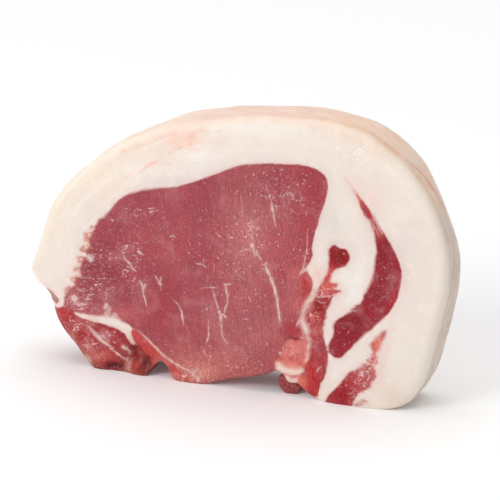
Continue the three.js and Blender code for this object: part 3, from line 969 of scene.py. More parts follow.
def face_depth(tree, x, z, side):
    """Depth of the front (side -1) or back (side +1) cut face at a point, bridging the seams."""
    best = 0.0
    shifts = ((0, 0), (SEAM_BRIDGE, 0), (-SEAM_BRIDGE, 0), (0, SEAM_BRIDGE), (0, -SEAM_BRIDGE))
    for shift_x, shift_z in shifts:
        start = Vector((x + shift_x, side * FAR, z + shift_z))
        hit = tree.ray_cast(start, Vector((0.0, -side, 0.0)))[0]
        if hit is not None:
            best = max(best, side * hit.y)
        if best > SURE_DEPTH:
            break
    return side * (best or USUAL_DEPTH)


# Section and surface


class Section:
    """The chop's section cut into triangles, with the muscle that each one belongs to."""

    def __init__(self, rim, skin):
        self.rim = rim
        self.skin = skin
        self.loops = [self.muscle_loop(name) for name in MUSCLES]
        self.coords = [tuple(p) for p in rim]
        self.edges = [(i, (i + 1) % len(rim)) for i in range(len(rim))]
        for loop in self.loops:
            self.add_border(loop)
        borders = np.array(self.coords)
        self.coords.extend(map(tuple, self.vein_points(borders)))
        self.coords.extend(map(tuple, self.field_points(np.array(self.coords))))
        self.triangulate()
        self.name_triangles()

    def muscle_loop(self, name):
        """Outline of a muscle, run on past the skin where it ends there."""
        loop = even_loop(node_section(name, SECTION_DEPTH), FINE_STEP)
        reach = hub_reach(loop)
        ends = reach > ring_reach(self.skin, loop) - SKIN_END
        stretch = np.where(ends, 1.0 + RUN_ON / reach, 1.0)
        return softened_loop(HUB + (loop - HUB) * stretch[:, None], BORDER_STEP, BORDER_ROUNDING)

    def within(self, points, margin):
        """Which points lie inside the rim by a margin."""
        return hub_reach(points) < ring_reach(self.rim, points) - margin

    def add_border(self, loop):
        """A muscle's outline as fixed edges, snapped to the rim and to earlier outlines."""
        gap, index = nearest(loop, np.array(self.coords))
        inside = self.within(loop, RIM_MARGIN)
        chain = []
        for k, point in enumerate(loop):
            if not inside[k] or gap[k] < SNAP_GAP:
                chain.append(index[k])
            else:
                self.coords.append(tuple(point))
                chain.append(len(self.coords) - 1)
        rim_count = len(self.rim)
        for a, b in zip(chain, chain[1:] + chain[:1]):
            on_rim = a < rim_count and b < rim_count
            if a != b and not on_rim:
                self.edges.append((a, b))

    def vein_points(self, borders):
        """Extra points on and beside each vein, so that thin lines stay crisp."""
        made = []
        for *_, line in VEINS:
            even, _ = along_line(line, VEIN_STEP)
            across = left_of(np.gradient(even, axis=0))
            made.extend(even + offset * across for offset in VEIN_ROWS)
        made = np.vstack(made)
        gap, _ = nearest(made, borders)
        return made[(gap > VEIN_GAP) & self.within(made, RIM_MARGIN)]

    def field_points(self, held):
        """Jittered points over the rest of the section."""
        low = self.rim.min(axis=0)
        high = self.rim.max(axis=0)
        points = []
        for number, z in enumerate(np.arange(low[1], high[1], ROW_STEP)):
            x = np.arange(low[0] + 0.5 * FACE_STEP * (number % 2), high[0], FACE_STEP)
            points.append(np.stack([x, np.full(len(x), z)], axis=1))
        points = np.vstack(points)
        points += RANDOM.uniform(-FACE_JITTER, FACE_JITTER, points.shape)
        points = points[self.within(points, FIELD_MARGIN)]
        gap, _ = nearest(points, held)
        return points[gap > FIELD_GAP]

    def triangulate(self):
        """Triangles over all the points, keeping the fixed edges and noting the rim's points."""
        coords = [Vector(p) for p in self.coords]
        made = delaunay_2d_cdt(coords, self.edges, [], 0, MERGE_GAP)
        self.points = np.array([tuple(v) for v in made[0]])
        faces = np.array([f for f in made[2] if len(f) == 3])
        self.faces = faces[self.within(self.points[faces].mean(axis=1), 0.0)]
        self.fixed = {tuple(sorted(e)) for e, source in zip(made[1], made[4]) if source}
        self.rim_ids = np.zeros(len(self.rim), int)
        for new, old in enumerate(made[3]):
            for index in old:
                if index < len(self.rim):
                    self.rim_ids[index] = new

    def name_triangles(self):
        """Gives each patch that fixed edges enclose to the muscle that holds most of it."""
        self.by_edge = {}
        for number, face in enumerate(self.faces):
            for a, b in zip(face, np.roll(face, -1)):
                self.by_edge.setdefault(edge_key(a, b), []).append(number)
        corners = self.points[self.faces]
        guess = self.muscle_at(corners.mean(axis=1))
        area = 0.5 * np.abs(doubled_area(corners))
        neighbours = [[] for _ in self.faces]
        for edge, sharing in self.by_edge.items():
            if len(sharing) == 2 and edge not in self.fixed:
                neighbours[sharing[0]].append(sharing[1])
                neighbours[sharing[1]].append(sharing[0])
        self.owner = np.full(len(self.faces), -1)
        for start in range(len(self.faces)):
            if self.owner[start] >= 0:
                continue
            patch = [start]
            self.owner[start] = FAT
            for number in patch:
                for other in neighbours[number]:
                    if self.owner[other] < 0:
                        self.owner[other] = FAT
                        patch.append(other)
            votes = np.bincount(guess[patch], weights=area[patch], minlength=FAT + 1)
            self.owner[patch] = int(np.argmax(votes))

    def muscle_at(self, points):
        """Number of the muscle at each point, or FAT."""
        found = np.full(len(points), FAT)
        for number in reversed(range(len(MUSCLES))):
            found[inside_loop(points, self.loops[number])] = number
        return found


class Surface:
    """Every point of the dressed chop: front face, back face and the rim between them."""

    def __init__(self):
        tree = frame_tree(NODES)
        angles, reach = rim_outline(tree)
        rings = rim_rings(tree, angles, reach)
        self.section = Section(rings[0][:, FLAT], rings[MIDDLE_BAND][:, FLAT])
        flat = self.section.points
        ids = self.section.rim_ids
        back_flat = self.back_places(flat, rings[0][:, FLAT], rings[-1][:, FLAT])
        front = np.array([(x, face_depth(tree, x, z, -1), z) for x, z in flat])
        back = np.array([(x, face_depth(tree, x, z, 1), z) for x, z in back_flat])
        front[ids] = rings[0]
        back[ids] = rings[-1]
        self.ease_depths(front)
        self.ease_depths(back)
        self.count = len(flat)
        self.rings = np.zeros((PROFILE_BANDS + 1, len(angles)), int)
        self.rings[0] = ids
        self.rings[-1] = ids + self.count
        inner = self.rings[1:-1]
        inner[:] = 2 * self.count + np.arange(inner.size).reshape(inner.shape)
        self.points = np.vstack([front, back, rings[1:-1].reshape(-1, 3)])
        self.make_faces()
        self.normals = self.vertex_normals()

    def back_places(self, flat, front_ring, back_ring):
        """Section points moved in where the back rim is smaller than the front one."""
        ratio = read_around(front_ring, hub_reach(back_ring) / hub_reach(front_ring), flat)
        weight = smoothstep(0.6, 1.0, hub_reach(flat) / ring_reach(front_ring, flat))
        return HUB + (flat - HUB) * (1.0 + (ratio - 1.0) * weight)[:, None]

    def ease_depths(self, points):
        """Smooths the depth of a cut face, leaving its rim where it is."""
        faces = self.section.faces
        pairs = np.vstack([faces[:, [0, 1]], faces[:, [1, 2]], faces[:, [2, 0]]])
        pairs = np.vstack([pairs, pairs[:, ::-1]])
        degree = np.maximum(1, np.bincount(pairs[:, 0], minlength=len(points)))
        free = np.ones(len(points), bool)
        free[self.section.rim_ids] = False
        for _ in range(EASE_ROUNDS):
            mean = np.bincount(pairs[:, 0], weights=points[pairs[:, 1], 1], minlength=len(points)) / degree
            points[free, 1] += EASE_SHARE * (mean - points[:, 1])[free]

    def make_faces(self):
        """Triangles of both faces and quads of the rim, with the owner of each of the rim's columns."""
        section = self.section
        faces = section.faces
        turned = doubled_area(section.points[faces]) < 0
        self.front_faces = np.where(turned[:, None], faces[:, ::-1], faces)
        self.back_faces = self.front_faces[:, ::-1] + self.count
        ids = section.rim_ids
        self.column_owner = np.full(len(ids), FAT)
        for i, edge in enumerate(map(edge_key, ids, np.roll(ids, -1))):
            sharing = section.by_edge.get(edge, [])
            if len(sharing) == 1:
                self.column_owner[i] = section.owner[sharing[0]]
        here = self.rings
        onward = np.roll(self.rings, -1, axis=1)
        self.rim_faces = np.stack([here[:-1], here[1:], onward[1:], onward[:-1]], axis=-1)

    def vertex_normals(self):
        """Unit normals, each the mean of the faces about its point by their area."""
        quads = self.rim_faces.reshape(-1, 4)
        triangles = np.vstack([self.front_faces, self.back_faces, quads[:, [0, 1, 2]], quads[:, [0, 2, 3]]])
        corner = self.points[triangles]
        turn = np.cross(corner[:, 1] - corner[:, 0], corner[:, 2] - corner[:, 0])
        normals = np.zeros_like(self.points)
        for k in range(3):
            np.add.at(normals, triangles[:, k], turn)
        length = np.linalg.norm(normals, axis=1)
        return normals / np.maximum(length, 1e-12)[:, None]

    def push(self, amount):
        """Moves every point along its normal, but not through the floor, and finds the new normals."""
        self.points = self.points + amount[:, None] * self.normals
        self.points[:, 2] = np.maximum(self.points[:, 2], 0.0)
        self.normals = self.vertex_normals()

    def set_down(self):
        """Lets the front of the foot down to the floor and out a little."""
        share = smoothstep(FOOT_HEIGHT, 0.5, self.points[:, 2]) * smoothstep(-6.0, -10.0, self.points[:, 1])
        self.points[:, 1] -= FOOT_RUN * share
        self.points[:, 2] = np.maximum(self.points[:, 2] - FOOT_DROP * share, 0.0)
        self.normals = self.vertex_normals()

    def rim_share(self):
        """How far each point is part of the skin side, 0 on the cut faces and 1 midway between them."""
        share = np.zeros(len(self.points))
        bands = np.sin(np.pi * np.linspace(0, 1, PROFILE_BANDS + 1))
        for band, ring in zip(bands, self.rings):
            share[ring] = smoothstep(0.25, 0.8, band)
        return share


# Marks and borders of the section


def wavy_line(line, first, last, seed, swing):
    """Fine points along a line that wanders a little, and a half width that swells and thins by a swing."""
    even, share = along_line(line, LINE_STEP)
    run = share * len(even) * LINE_STEP
    steps = np.stack([run, np.full(len(run), 3.7 * seed), np.zeros(len(run))], axis=1)
    across = left_of(np.gradient(even, axis=0))
    even = even + (WANDER * noise(steps, WANDER_RUN, 21))[:, None] * across
    width = (first + (last - first) * share) * (1.0 + swing * noise(steps, SWING_RUN, 22))
    fullness = plateau(share, 0.0, TIP_RUN, 1.0 - TIP_RUN, 1.0)
    return even, width * (TIP_WIDTH + (1.0 - TIP_WIDTH) * fullness)


def line_depth(flat, points, width):
    """How far inside a line's edge each point lies, or -OUTSIDE well outside it."""
    depth = np.full(len(flat), -OUTSIDE)
    low = points.min(axis=0) - OUTSIDE
    high = points.max(axis=0) + OUTSIDE
    near = np.flatnonzero(np.all((flat > low) & (flat < high), axis=1))
    for part in np.array_split(near, max(1, len(near) // POINTS_AT_ONCE)):
        gap = np.linalg.norm(flat[part][:, None] - points[None], axis=2)
        depth[part] = np.max(width[None] - gap, axis=1)
    return depth


def stroke_depth(flat, line, width):
    """How far inside a stroke of even half width each point lies."""
    points, _ = along_line(line, STROKE_STEP)
    return line_depth(flat, points, np.full(len(points), width))


def area_depth(flat, corners):
    """How far inside a drawn area each point lies, negative outside it."""
    loop = softened_loop(np.array(corners, float), AREA_STEP, AREA_ROUNDING)
    edge = line_depth(flat, loop, np.zeros(len(loop)))
    return np.where(inside_loop(flat, loop), -edge, edge)


def drawn_depth(flat, lines, areas, seed):
    """How far inside the nearest of the drawn lines and areas each point lies."""
    depths = [area_depth(flat, corners) for corners in areas]
    for number, (first, last, line) in enumerate(lines):
        depths.append(line_depth(flat, *wavy_line(line, first, last, seed + number, DRAWN_SWING)))
    return np.max(depths, axis=0)


def fringe_depth(flat):
    """How far inside the nearest of the small round bits that make up the fringe each point lies."""
    random = np.random.default_rng(5)
    bits = []
    for x, z, half_width, half_height in FRINGE:
        for across, up, size in random.uniform(-1.0, 1.0, (BITS_PER_CLUMP, 3)):
            radius = BIT_RADIUS + BIT_SWING * size
            bits.append((x + across * half_width, z + up * half_height, radius))
    bits = np.array(bits)
    return line_depth(flat, bits[:, :2], bits[:, 2])


def vein_fields(flat):
    """Closeness to the nearest vein or patch, 1 at its middle and 0 at its edge, and its strength."""
    shares = []
    for number, (_, first, last, line) in enumerate(VEINS):
        points, width = wavy_line(line, first, last, number, VEIN_SWING)
        shares.append(line_depth(flat, points, width) / (0.5 * (first + last)))
    rough = 1.1 * noise(without_depth(flat), 1.1, 43)
    for x, z, radius, _ in PATCHES:
        away = np.hypot(flat[:, 0] - x, flat[:, 1] - z) / radius
        shares.append(1.2 - 2.0 * away * away + rough)
    shares = np.clip(shares, -OUTSIDE, 1.0)
    shown = np.array([row[0] for row in VEINS] + [row[-1] for row in PATCHES])
    closeness = shares.max(axis=0)
    return closeness, np.where(closeness > -OUTSIDE, shown[shares.argmax(axis=0)], 0.0)


def drawn_seam(seam, flat):
    """Border of lean and fat with its spreads and the drawn lines and areas of either kind taken in."""
    for amount, reach, line in SPREADS:
        away = np.minimum(stroke_depth(flat, line, 0.0), 0.0)
        seam = seam + amount * np.exp(-((away / reach) ** 2))
    seam = np.maximum(seam, drawn_depth(flat, LEAN_LINES, LEAN_AREAS, 50))
    return np.minimum(seam, -drawn_depth(flat, FAT_LINES, FAT_AREAS, 80))


def border_samples(section):
    """Points along the muscles' outlines, with their way out, muscle and whether fat lies beyond them."""
    parts = []
    for number, loop in enumerate(section.loops):
        fine = even_loop(loop, FINE_STEP)
        run = np.roll(fine, -1, axis=0) - np.roll(fine, 1, axis=0)
        area = np.sum(fine[:, 0] * np.roll(fine[:, 1], -1) - np.roll(fine[:, 0], -1) * fine[:, 1])
        outward = -math.copysign(1.0, area) * left_of(run)
        beyond = section.muscle_at(fine + BEYOND * outward)
        keep = hub_reach(fine) < ring_reach(section.skin, fine) + RIM_MARGIN
        parts.append((fine[keep], outward[keep], np.full(keep.sum(), number), beyond[keep] == FAT))
    return [np.concatenate(column) for column in zip(*parts)]


def seam_fields(section, flat):
    """Distance from the border of lean and fat, positive in the lean, the muscle and the nearest crease."""
    points, outward, owners, by_fat = border_samples(section)
    distance, index = nearest(flat, points[by_fat])
    crease, between = nearest(flat, points[~by_fat])
    muscle = section.muscle_at(flat)
    in_gap = (muscle == FAT) & (crease < GAP_REACH) & (distance > crease + GAP_LEAD)
    closest = np.where(muscle == FAT, owners[by_fat][index], muscle)
    closest = np.where(in_gap, owners[~by_fat][between], closest)
    signed = np.where((muscle == FAT) & ~in_gap, -distance, distance)
    level = -np.sum((flat - points[by_fat][index]) * outward[by_fat][index], axis=1)
    signed = np.where((distance < LEVEL_REACH) & ~in_gap, level, signed)
    return np.clip(signed, -SEAM_REACH, SEAM_REACH), closest, np.minimum(crease, CREASE_REACH)


# Colours and relief


def toned(colours, flat, tones):
    """Colours drawn towards each tone about its place."""
    for *place, strength, colour in tones:
        colours = drawn_to(colours, strength * bell(flat, *place), colour)
    return colours


def lean_colours(flat, closest, solid, clumps):
    """Lean tones, paler along the frayed border, less the sheen that the surround lays over them."""
    base = np.array([to_linear(LEAN_COLOURS[name]) for name in MUSCLES])
    colours = toned(base[closest], flat, LEAN_TONES)
    edge = 0.8 * smoothstep(1.6, 0.0, solid) * bell(flat, *FRINGE_ZONE)
    colours = drawn_to(colours, edge, FRINGE_EDGE)
    clump = smoothstep(-0.8, 0.0, clumps) * smoothstep(0.4, -0.4, solid)
    return np.maximum(drawn_to(colours, clump, CLUMP_COLOUR) - SHEEN, DARKEST)


def fat_colours(flat, seam, skin):
    """Cream fat with its zones, a creamier margin, broken pink strokes, a pink edge by the lean and a wider
    band of painted shade beside it.
    """
    colours = np.tile(to_linear(FAT_CREAM), (len(flat), 1))
    colours = drawn_to(colours, 0.6 * smoothstep(9.0, 2.5, skin), MARGIN_CREAM)
    colours = toned(colours, flat, FAT_TONES)
    spots = without_depth(flat)
    broken = np.clip(0.6 + 0.8 * noise(spots, 4.0, 41) + 0.6 * noise(spots, 1.6, 42), 0.0, 1.2)
    for width, strength, line in BLUSHES:
        weight = strength * smoothstep(0.0, 1.0, stroke_depth(flat, line, width) / width) * broken
        colours = drawn_to(colours, weight, BLUSH_COLOUR)
    # Painted shade and reddish scattered light in the fat near the lean
    colours = drawn_to(colours, 0.4 * smoothstep(-4.5, 0.0, seam), LEAN_SCATTER_SHADE)
    return FAT_LIGHT * drawn_to(colours, 0.6 * smoothstep(-1.3, 0.1, seam), LEAN_EDGE)


def crease_line(points, flat):
    """Closeness to the crease that runs behind the upper right edge and leaves it lower down."""
    angle = hub_angle(flat)
    depth = -5.0 + 4.0 * smoothstep(37.0, 24.0, angle) + 0.5 * noise(points, 7.0, 31)
    run = plateau(angle, *CREASE_RUN) * smoothstep(20.0, 26.0, hub_reach(flat))
    return np.exp(-(((points[:, 1] - depth) / 0.5) ** 2)) * run


def scrap_share(flat, rim_share):
    """Closeness to the grey scrap that stands out at the neck of the flap."""
    return smoothstep(0.0, 0.4, rim_share) * bell(flat, *SCRAP)


def edge_colours(colours, flat, skin):
    """Peach margin of the cut face that leads over to the skin at the top and, wider, at the upper right."""
    angle = hub_angle(flat)
    upper = plateau(angle, *UPPER_EDGE)
    top = plateau(angle, *TOP_EDGE)
    margin = 0.5 * smoothstep(1.0, 0.2, skin / (2.6 + 3.6 * upper))
    colours = drawn_to(colours, upper * margin, SKIN_PEACH)
    return drawn_to(colours, top * margin, SKIN_SALMON)


def rim_colours(colours, points, flat, rim_share):
    """Skin side: peach over the top, grey beige at the right, tan to the front of a pink crease."""
    angle = hub_angle(flat)
    side = smoothstep(0.0, 0.5, rim_share)
    patchy = side * np.clip(0.9 + 0.5 * noise(points, (9.0, 3.0, 9.0), 33), 0.0, 1.0)
    for run, colour in SKIN_ZONES:
        colours = drawn_to(colours, patchy * plateau(angle, *run), colour)
    bevel = 0.8 * side * plateau(angle, *PEACH_RUN) * smoothstep(-4.0, -7.5, points[:, 1])
    colours = drawn_to(colours, bevel, SKIN_TAN)
    colours = drawn_to(colours, 0.9 * scrap_share(flat, rim_share), SCRAP_GREY)
    broken = np.clip(0.8 + 0.8 * noise(points, 3.0, 32), 0.2, 1.0)
    return drawn_to(colours, 0.8 * crease_line(points, flat) * broken, CREASE_PINK)


def relief(points, flat, seam, rim_share):
    """Fine swelling of the surface: soft over fat, fibrous over lean, rougher on the skin side."""
    lean = smoothstep(-0.2, 0.8, seam)
    lumpy = 0.07 + 0.1 * bells(flat, GLINT_ZONE).max(axis=0)
    fat_swell = 0.16 * noise(points, 8.0, 1) + lumpy * noise(points, 2.2, 2)
    lean_swell = 0.1 * noise(points, 5.0, 3) + 0.06 * noise(points, (1.6, 1.6, 3.0), 4) - 0.16
    skin = 0.3 * noise(points, (9.0, 4.0, 9.0), 5) + 0.2 * noise(points, (6.0, 1.6, 6.0), 6)
    swell = bells(flat, SWELLINGS).sum(axis=0) * smoothstep(-4.0, -9.0, points[:, 1])
    groove = 2.0 * scrap_share(flat, rim_share) - 0.45 * crease_line(points, flat)
    flap = bells(flat, FULLER_FLAP).sum(axis=0) * smoothstep(0.0, 0.3, rim_share)
    return fat_swell * (1 - lean) + lean_swell * lean + skin * rim_share + swell + groove + flap


# Shaders


class Graph:
    """A material, with short calls for making and linking its shader nodes."""

    def __init__(self, name):
        self.material = bpy.data.materials.new(name)
        self.material.use_nodes = True
        self.tree = self.material.node_tree

    def put(self, socket, value):
        """Links a socket or sets a plain value."""
        if isinstance(value, bpy.types.NodeSocket):
            self.tree.links.new(value, socket)
        else:
            socket.default_value = value

    def node(self, kind, inputs, **settings):
        """New node with its inputs linked or set, by name or by number."""
        made = self.tree.nodes.new(kind)
        for name, value in settings.items():
            setattr(made, name, value)
        for socket, value in inputs.items():
            self.put(made.inputs[socket], value)
        return made

    def shaded(self, looks):
        """The material, with its shader's sockets linked or set."""
        shader = self.tree.nodes["Principled BSDF"]
        for socket, value in looks.items():
            self.put(shader.inputs[socket], value)
        return self.material

    def attribute(self, name, output):
        return self.node("ShaderNodeAttribute", {}, attribute_name=name).outputs[output]

    def field(self, name):
        return self.attribute(name, "Fac")

    def math(self, operation, a, b=0.0):
        return self.node("ShaderNodeMath", {0: a, 1: b}, operation=operation).outputs[0]

    def total(self, *values):
        """Sum of several numbers."""
        made = values[0]
        for value in values[1:]:
            made = self.math("ADD", made, value)
        return made

    def product(self, *values):
        """Product of several numbers."""
        made = values[0]
        for value in values[1:]:
            made = self.math("MULTIPLY", made, value)
        return made

    def larger(self, a, b):
        return self.math("MAXIMUM", a, b)

    def less(self, a, b):
        return self.math("SUBTRACT", a, b)

    def centred(self, value):
        return self.less(value, 0.5)

    def ease(self, value, low, high, to_low=0.0, to_high=1.0):
        """Smooth step of a value from one range to another."""
        inputs = {"Value": value, "From Min": low, "From Max": high, "To Min": to_low, "To Max": to_high}
        return self.node("ShaderNodeMapRange", inputs, interpolation_type="SMOOTHSTEP").outputs["Result"]

    def stretched(self, vector, scale):
        """Place scaled by one number, or by one for each axis."""
        factors = scale if isinstance(scale, tuple) else (scale, scale, scale)
        return self.node("ShaderNodeVectorMath", {0: vector, 1: factors}, operation="MULTIPLY").outputs[0]

    def turned(self, vector, degrees):
        """Place turned about the axis that runs through the slice."""
        inputs = {"Vector": vector, "Angle": math.radians(degrees)}
        return self.node("ShaderNodeVectorRotate", inputs, rotation_type="Y_AXIS").outputs[0]

    def tilted(self, vector):
        """Place turned off every axis, so that no weave of the noise shows."""
        inputs = {"Vector": vector, "Rotation": (0.6, 0.5, 0.8)}
        return self.node("ShaderNodeVectorRotate", inputs, rotation_type="EULER_XYZ").outputs[0]

    def noise_node(self, vector, scale, detail=2.0, rough=0.5, distortion=0.0):
        inputs = {
            "Vector": self.stretched(vector, scale),
            "Scale": 1.0,
            "Detail": detail,
            "Roughness": rough,
            "Distortion": distortion,
        }
        return self.node("ShaderNodeTexNoise", inputs)

    def noise(self, *settings):
        return self.noise_node(*settings).outputs["Fac"]

    def ruffled(self, vector, scale, amount):
        """Place shifted at random by up to about half an amount."""
        shift = self.noise_node(vector, scale).outputs["Color"]
        inputs = {0: shift, 1: (amount, amount, amount), 2: vector}
        return self.node("ShaderNodeVectorMath", inputs, operation="MULTIPLY_ADD").outputs[0]

    def curls(self, vector, scale, width, chance):
        """Short curled threads: where smooth noise crosses its middle, broken up by another noise."""
        level = self.noise(vector, scale, 1.0, 0.5, 0.5)
        thread = self.ease(self.math("ABSOLUTE", self.centred(level)), width, 0.0)
        broken = self.noise(self.turned(vector, 50.0), scale, 1.0)
        kept = self.ease(self.total(broken, self.product(chance, 0.3)), 0.68, 0.8)
        return self.product(thread, kept)

    def mix(self, share, a, b, blend="MIX"):
        """Colour between two others."""
        inputs = {0: share, 6: a, 7: b}
        return self.node("ShaderNodeMix", inputs, data_type="RGBA", blend_type=blend).outputs[2]

    def blend(self, share, a, b):
        """Plain number between two others."""
        return self.node("ShaderNodeMix", {0: share, 2: a, 3: b}, data_type="FLOAT").outputs[0]

    def tinted(self, colour, share, tint):
        """Colour mixed by a share towards a screen colour."""
        return self.mix(share, colour, screen(tint))

    def tints(self, colour, rows):
        """Colour tinted where each row's level runs from low to high, times the row's limits."""
        for level, low, high, strength, tint, *limits in rows:
            share = self.product(self.ease(level, low, high, 0.0, strength), *limits)
            colour = self.tinted(colour, share, tint)
        return colour

    def place(self):
        """Place on the piece, in millimetres."""
        return self.stretched(self.node("ShaderNodeTexCoord", {}).outputs["Object"], 1 / MM)

    def bump(self, height, distance):
        """Normal shaded by a height, with its distance in millimetres."""
        inputs = {"Strength": BUMP_STRENGTH, "Distance": distance * MM, "Height": height}
        return self.node("ShaderNodeBump", inputs).outputs["Normal"]


def screen(colour):
    """Screen colour as a linear value for a colour socket."""
    return (*to_linear(colour), 1.0)


def marbling(graph, place):
    """Uneven flecks of fat between the fibres of the marbled lean."""
    loose = graph.ruffled(place, 0.5, 1.2)
    amount = graph.field("marble")
    level = graph.noise(graph.turned(loose, 55.0), (0.75, 0.8, 1.1), 3.0, 0.65, 0.8)
    over = graph.less(level, graph.ease(amount, 0.0, 1.0, 0.64, 0.44))
    return graph.product(graph.ease(over, -0.02, 0.14), graph.ease(amount, 0.05, 0.3), 0.65)


def lean_border(graph, place):
    """Where the lean lies inside its border, frayed and softened as the section's fields say."""
    fray = graph.field("fray")
    soft = graph.total(graph.field("soft"), 0.42)
    skew = graph.tilted(place)
    ragged = graph.ease(graph.larger(fray, graph.field("marble")), 0.0, 0.4, 0.5, 0.9)
    inward = graph.total(
        graph.field("seam"),
        graph.product(graph.centred(graph.noise(skew, 0.9)), ragged),
        graph.product(graph.centred(graph.noise(skew, 0.22)), 0.7),
        graph.product(graph.centred(graph.noise(place, (0.1, 0.3, 0.6))), fray, 3.0),
    )
    return graph.ease(inward, graph.product(soft, -1.0), soft)


def shown_veins(graph, place):
    """Veins with uneven edges and a faint halo, dimmed here and there."""
    skew = graph.tilted(place)
    vein = graph.field("vein")
    uneven = graph.product(graph.centred(graph.noise(skew, 1.1, 3.0, 0.6)), 1.2)
    core = graph.ease(graph.total(vein, uneven), -0.4, 0.9, 0.0, 0.9)
    halo = graph.ease(vein, -2.0, 0.6, 0.0, 0.12)
    dimmed = graph.ease(graph.noise(skew, 0.4), 0.35, 0.6, 0.6, 1.0)
    return graph.product(graph.larger(core, halo), graph.field("vein_show"), dimmed)


def lean_share(graph, place):
    """Where the lean shows: inside its border, but not in veins or marbling."""
    fatty = graph.larger(shown_veins(graph, place), marbling(graph, place))
    return graph.product(lean_border(graph, place), graph.less(1.0, fatty))


def lean_specks(graph, place):
    """Pale specks of the lean: crumbs, dashes that rise to the right where fibres lie flat, and curls."""
    clusters = graph.ease(graph.noise(graph.tilted(place), 0.25), 0.35, 0.65, 0.55, 1.0)
    density = graph.product(clusters, graph.field("speck"))
    loose = graph.ruffled(place, 0.9, 0.6)
    dashes = graph.noise(graph.turned(loose, 18.0), (0.75, 1.0, 1.8), 2.0, 0.6, 0.6)
    crumbs = graph.noise(graph.tilted(loose), 1.0, 2.0, 0.6, 0.6)
    level = graph.blend(graph.field("lie"), crumbs, dashes)
    over = graph.less(level, graph.ease(density, 0.0, 1.3, 0.65, 0.44))
    curls = graph.product(graph.curls(place, 0.9, 0.05, density), 0.4)
    return graph.larger(graph.ease(over, 0.0, 0.15), curls)


def lean_look(graph, place, grain_swing):
    """Colour and height of the lean: a milky haze, grain, faint fibres and pale specks."""
    upright = graph.noise(graph.turned(place, 6.0), (2.2, 0.3, 0.2), 2.0, 0.6, 0.3)
    level = graph.noise(graph.turned(place, 16.0), (0.3, 0.3, 1.9), 2.0, 0.6, 0.3)
    fibre = graph.blend(graph.field("lie"), upright, level)
    skew = graph.tilted(place)
    grain = graph.noise(skew, 2.0, 2.0, 0.7)
    patches = graph.noise(skew, 0.12, 3.0, 0.6)
    haze = graph.noise(skew, 0.1, 4.0, 0.65, 0.4)
    blotch = graph.noise(skew, 0.4, 4.0, 0.65, 0.3)
    blotched = graph.field("blotch")
    crease = graph.total(graph.field("crease"), graph.product(graph.centred(grain), 0.6))
    bright = graph.product(
        graph.ease(patches, 0.3, 0.7, 0.93, 1.06),
        graph.ease(fibre, 0.25, 0.75, 0.86, 1.14),
        graph.ease(grain, 0.25, 0.75, 1.0 - grain_swing, 1.0 + grain_swing),
    )
    grey = graph.node("ShaderNodeCombineColor", {0: bright, 1: bright, 2: bright}).outputs[0]
    colour = graph.mix(1.0, graph.attribute("lean", "Color"), grey, "MULTIPLY")
    colour = graph.tints(colour, (
        (haze, 0.48, 0.72, 0.32, HAZE_PINK),
        (blotch, 0.48, 0.7, 0.6, BLOTCH_PALE, blotched),
        (blotch, 0.5, 0.3, 0.5, BLOTCH_DEEP, blotched),
        # Joints between muscles darkened, partly their own colour and partly painted shade in the recesses
        (crease, 0.7, 0.0, 0.7, JOINT_AND_SHADE_DARK, graph.field("joint_and_shade")),
    ))
    specks = lean_specks(graph, place)
    colour = graph.tinted(colour, graph.product(specks, 0.75), SPECK_WHITE)
    height = graph.total(graph.product(fibre, 0.3), graph.product(grain, 0.35), graph.product(specks, 0.3))
    return colour, height


def fat_look(graph, place):
    """Colour and height of the fat: faint layers along the skin, soft mottling and white glints, which are
    painted highlights of the wet surface.
    """
    layer = graph.attribute("layer", "Vector")
    layers = graph.noise(layer, (0.6, 0.05, 0.1), 3.0, 0.6, 0.5)
    folds = graph.noise(layer, (0.0, 0.06, 1.2), 3.0, 0.6, 0.5)
    skew = graph.tilted(place)
    mottle = graph.noise(skew, 0.16, 4.0, 0.65)
    grain = graph.noise(skew, 1.1, 3.0, 0.65)
    wet = graph.noise(graph.ruffled(place, 0.9, 0.9), (0.9, 0.9, 1.2), 2.0, 0.6, 0.6)
    bound = graph.ease(graph.field("glint"), 0.0, 1.0, 0.72, 0.53)
    glints = graph.ease(graph.less(wet, bound), 0.0, 0.1)
    streak = graph.ease(graph.field("streak"), 0.0, 1.0, 0.12, 1.0)
    over_top = graph.field("over_top")
    colour = graph.tints(graph.attribute("fat", "Color"), (
        (layers, 0.52, 0.68, 0.4, LAYER_PEACH, streak),
        (layers, 0.48, 0.34, 0.45, LAYER_WHITE, streak),
        (mottle, 0.5, 0.72, 0.5, MOTTLE_DARK),
        (mottle, 0.5, 0.3, 0.35, MOTTLE_LIGHT),
        (grain, 0.54, 0.75, 0.35, GRAIN_WHITE),
        (folds, 0.5, 0.62, 0.35, FOLD_SALMON, over_top),
        (folds, 0.48, 0.36, 0.35, FOLD_PALE, over_top),
    ))
    wrinkle = graph.ease(graph.math("ABSOLUTE", graph.centred(folds)), 0.035, 0.0)
    wrinkle = graph.product(wrinkle, graph.field("wrinkle"))
    colour = graph.tinted(colour, graph.product(wrinkle, 0.22), WRINKLE_BROWN)
    # Painted highlights of the wet fat
    colour = graph.tinted(colour, graph.product(glints, 0.7), GLINT_WHITE)
    height = graph.total(
        graph.product(layers, streak),
        graph.product(grain, 0.6),
        graph.product(glints, 0.8),
        graph.product(wrinkle, -0.8),
    )
    return colour, height


def meat_material(name, fat_rough, lean_rough, grain_swing):
    """Moist raw meat: one look for fat and lean, so that they meet without a seam."""
    graph = Graph(name)
    place = graph.place()
    lean = lean_share(graph, place)
    lean_colour, lean_height = lean_look(graph, place, grain_swing)
    fat_colour, fat_height = fat_look(graph, place)
    return graph.shaded({
        "Base Color": graph.mix(lean, fat_colour, lean_colour),
        "Roughness": graph.blend(lean, fat_rough, lean_rough),
        "Normal": graph.bump(graph.blend(lean, fat_height, lean_height), MEAT_BUMP),
        "Specular IOR Level": MEAT_SPECULAR,
    })


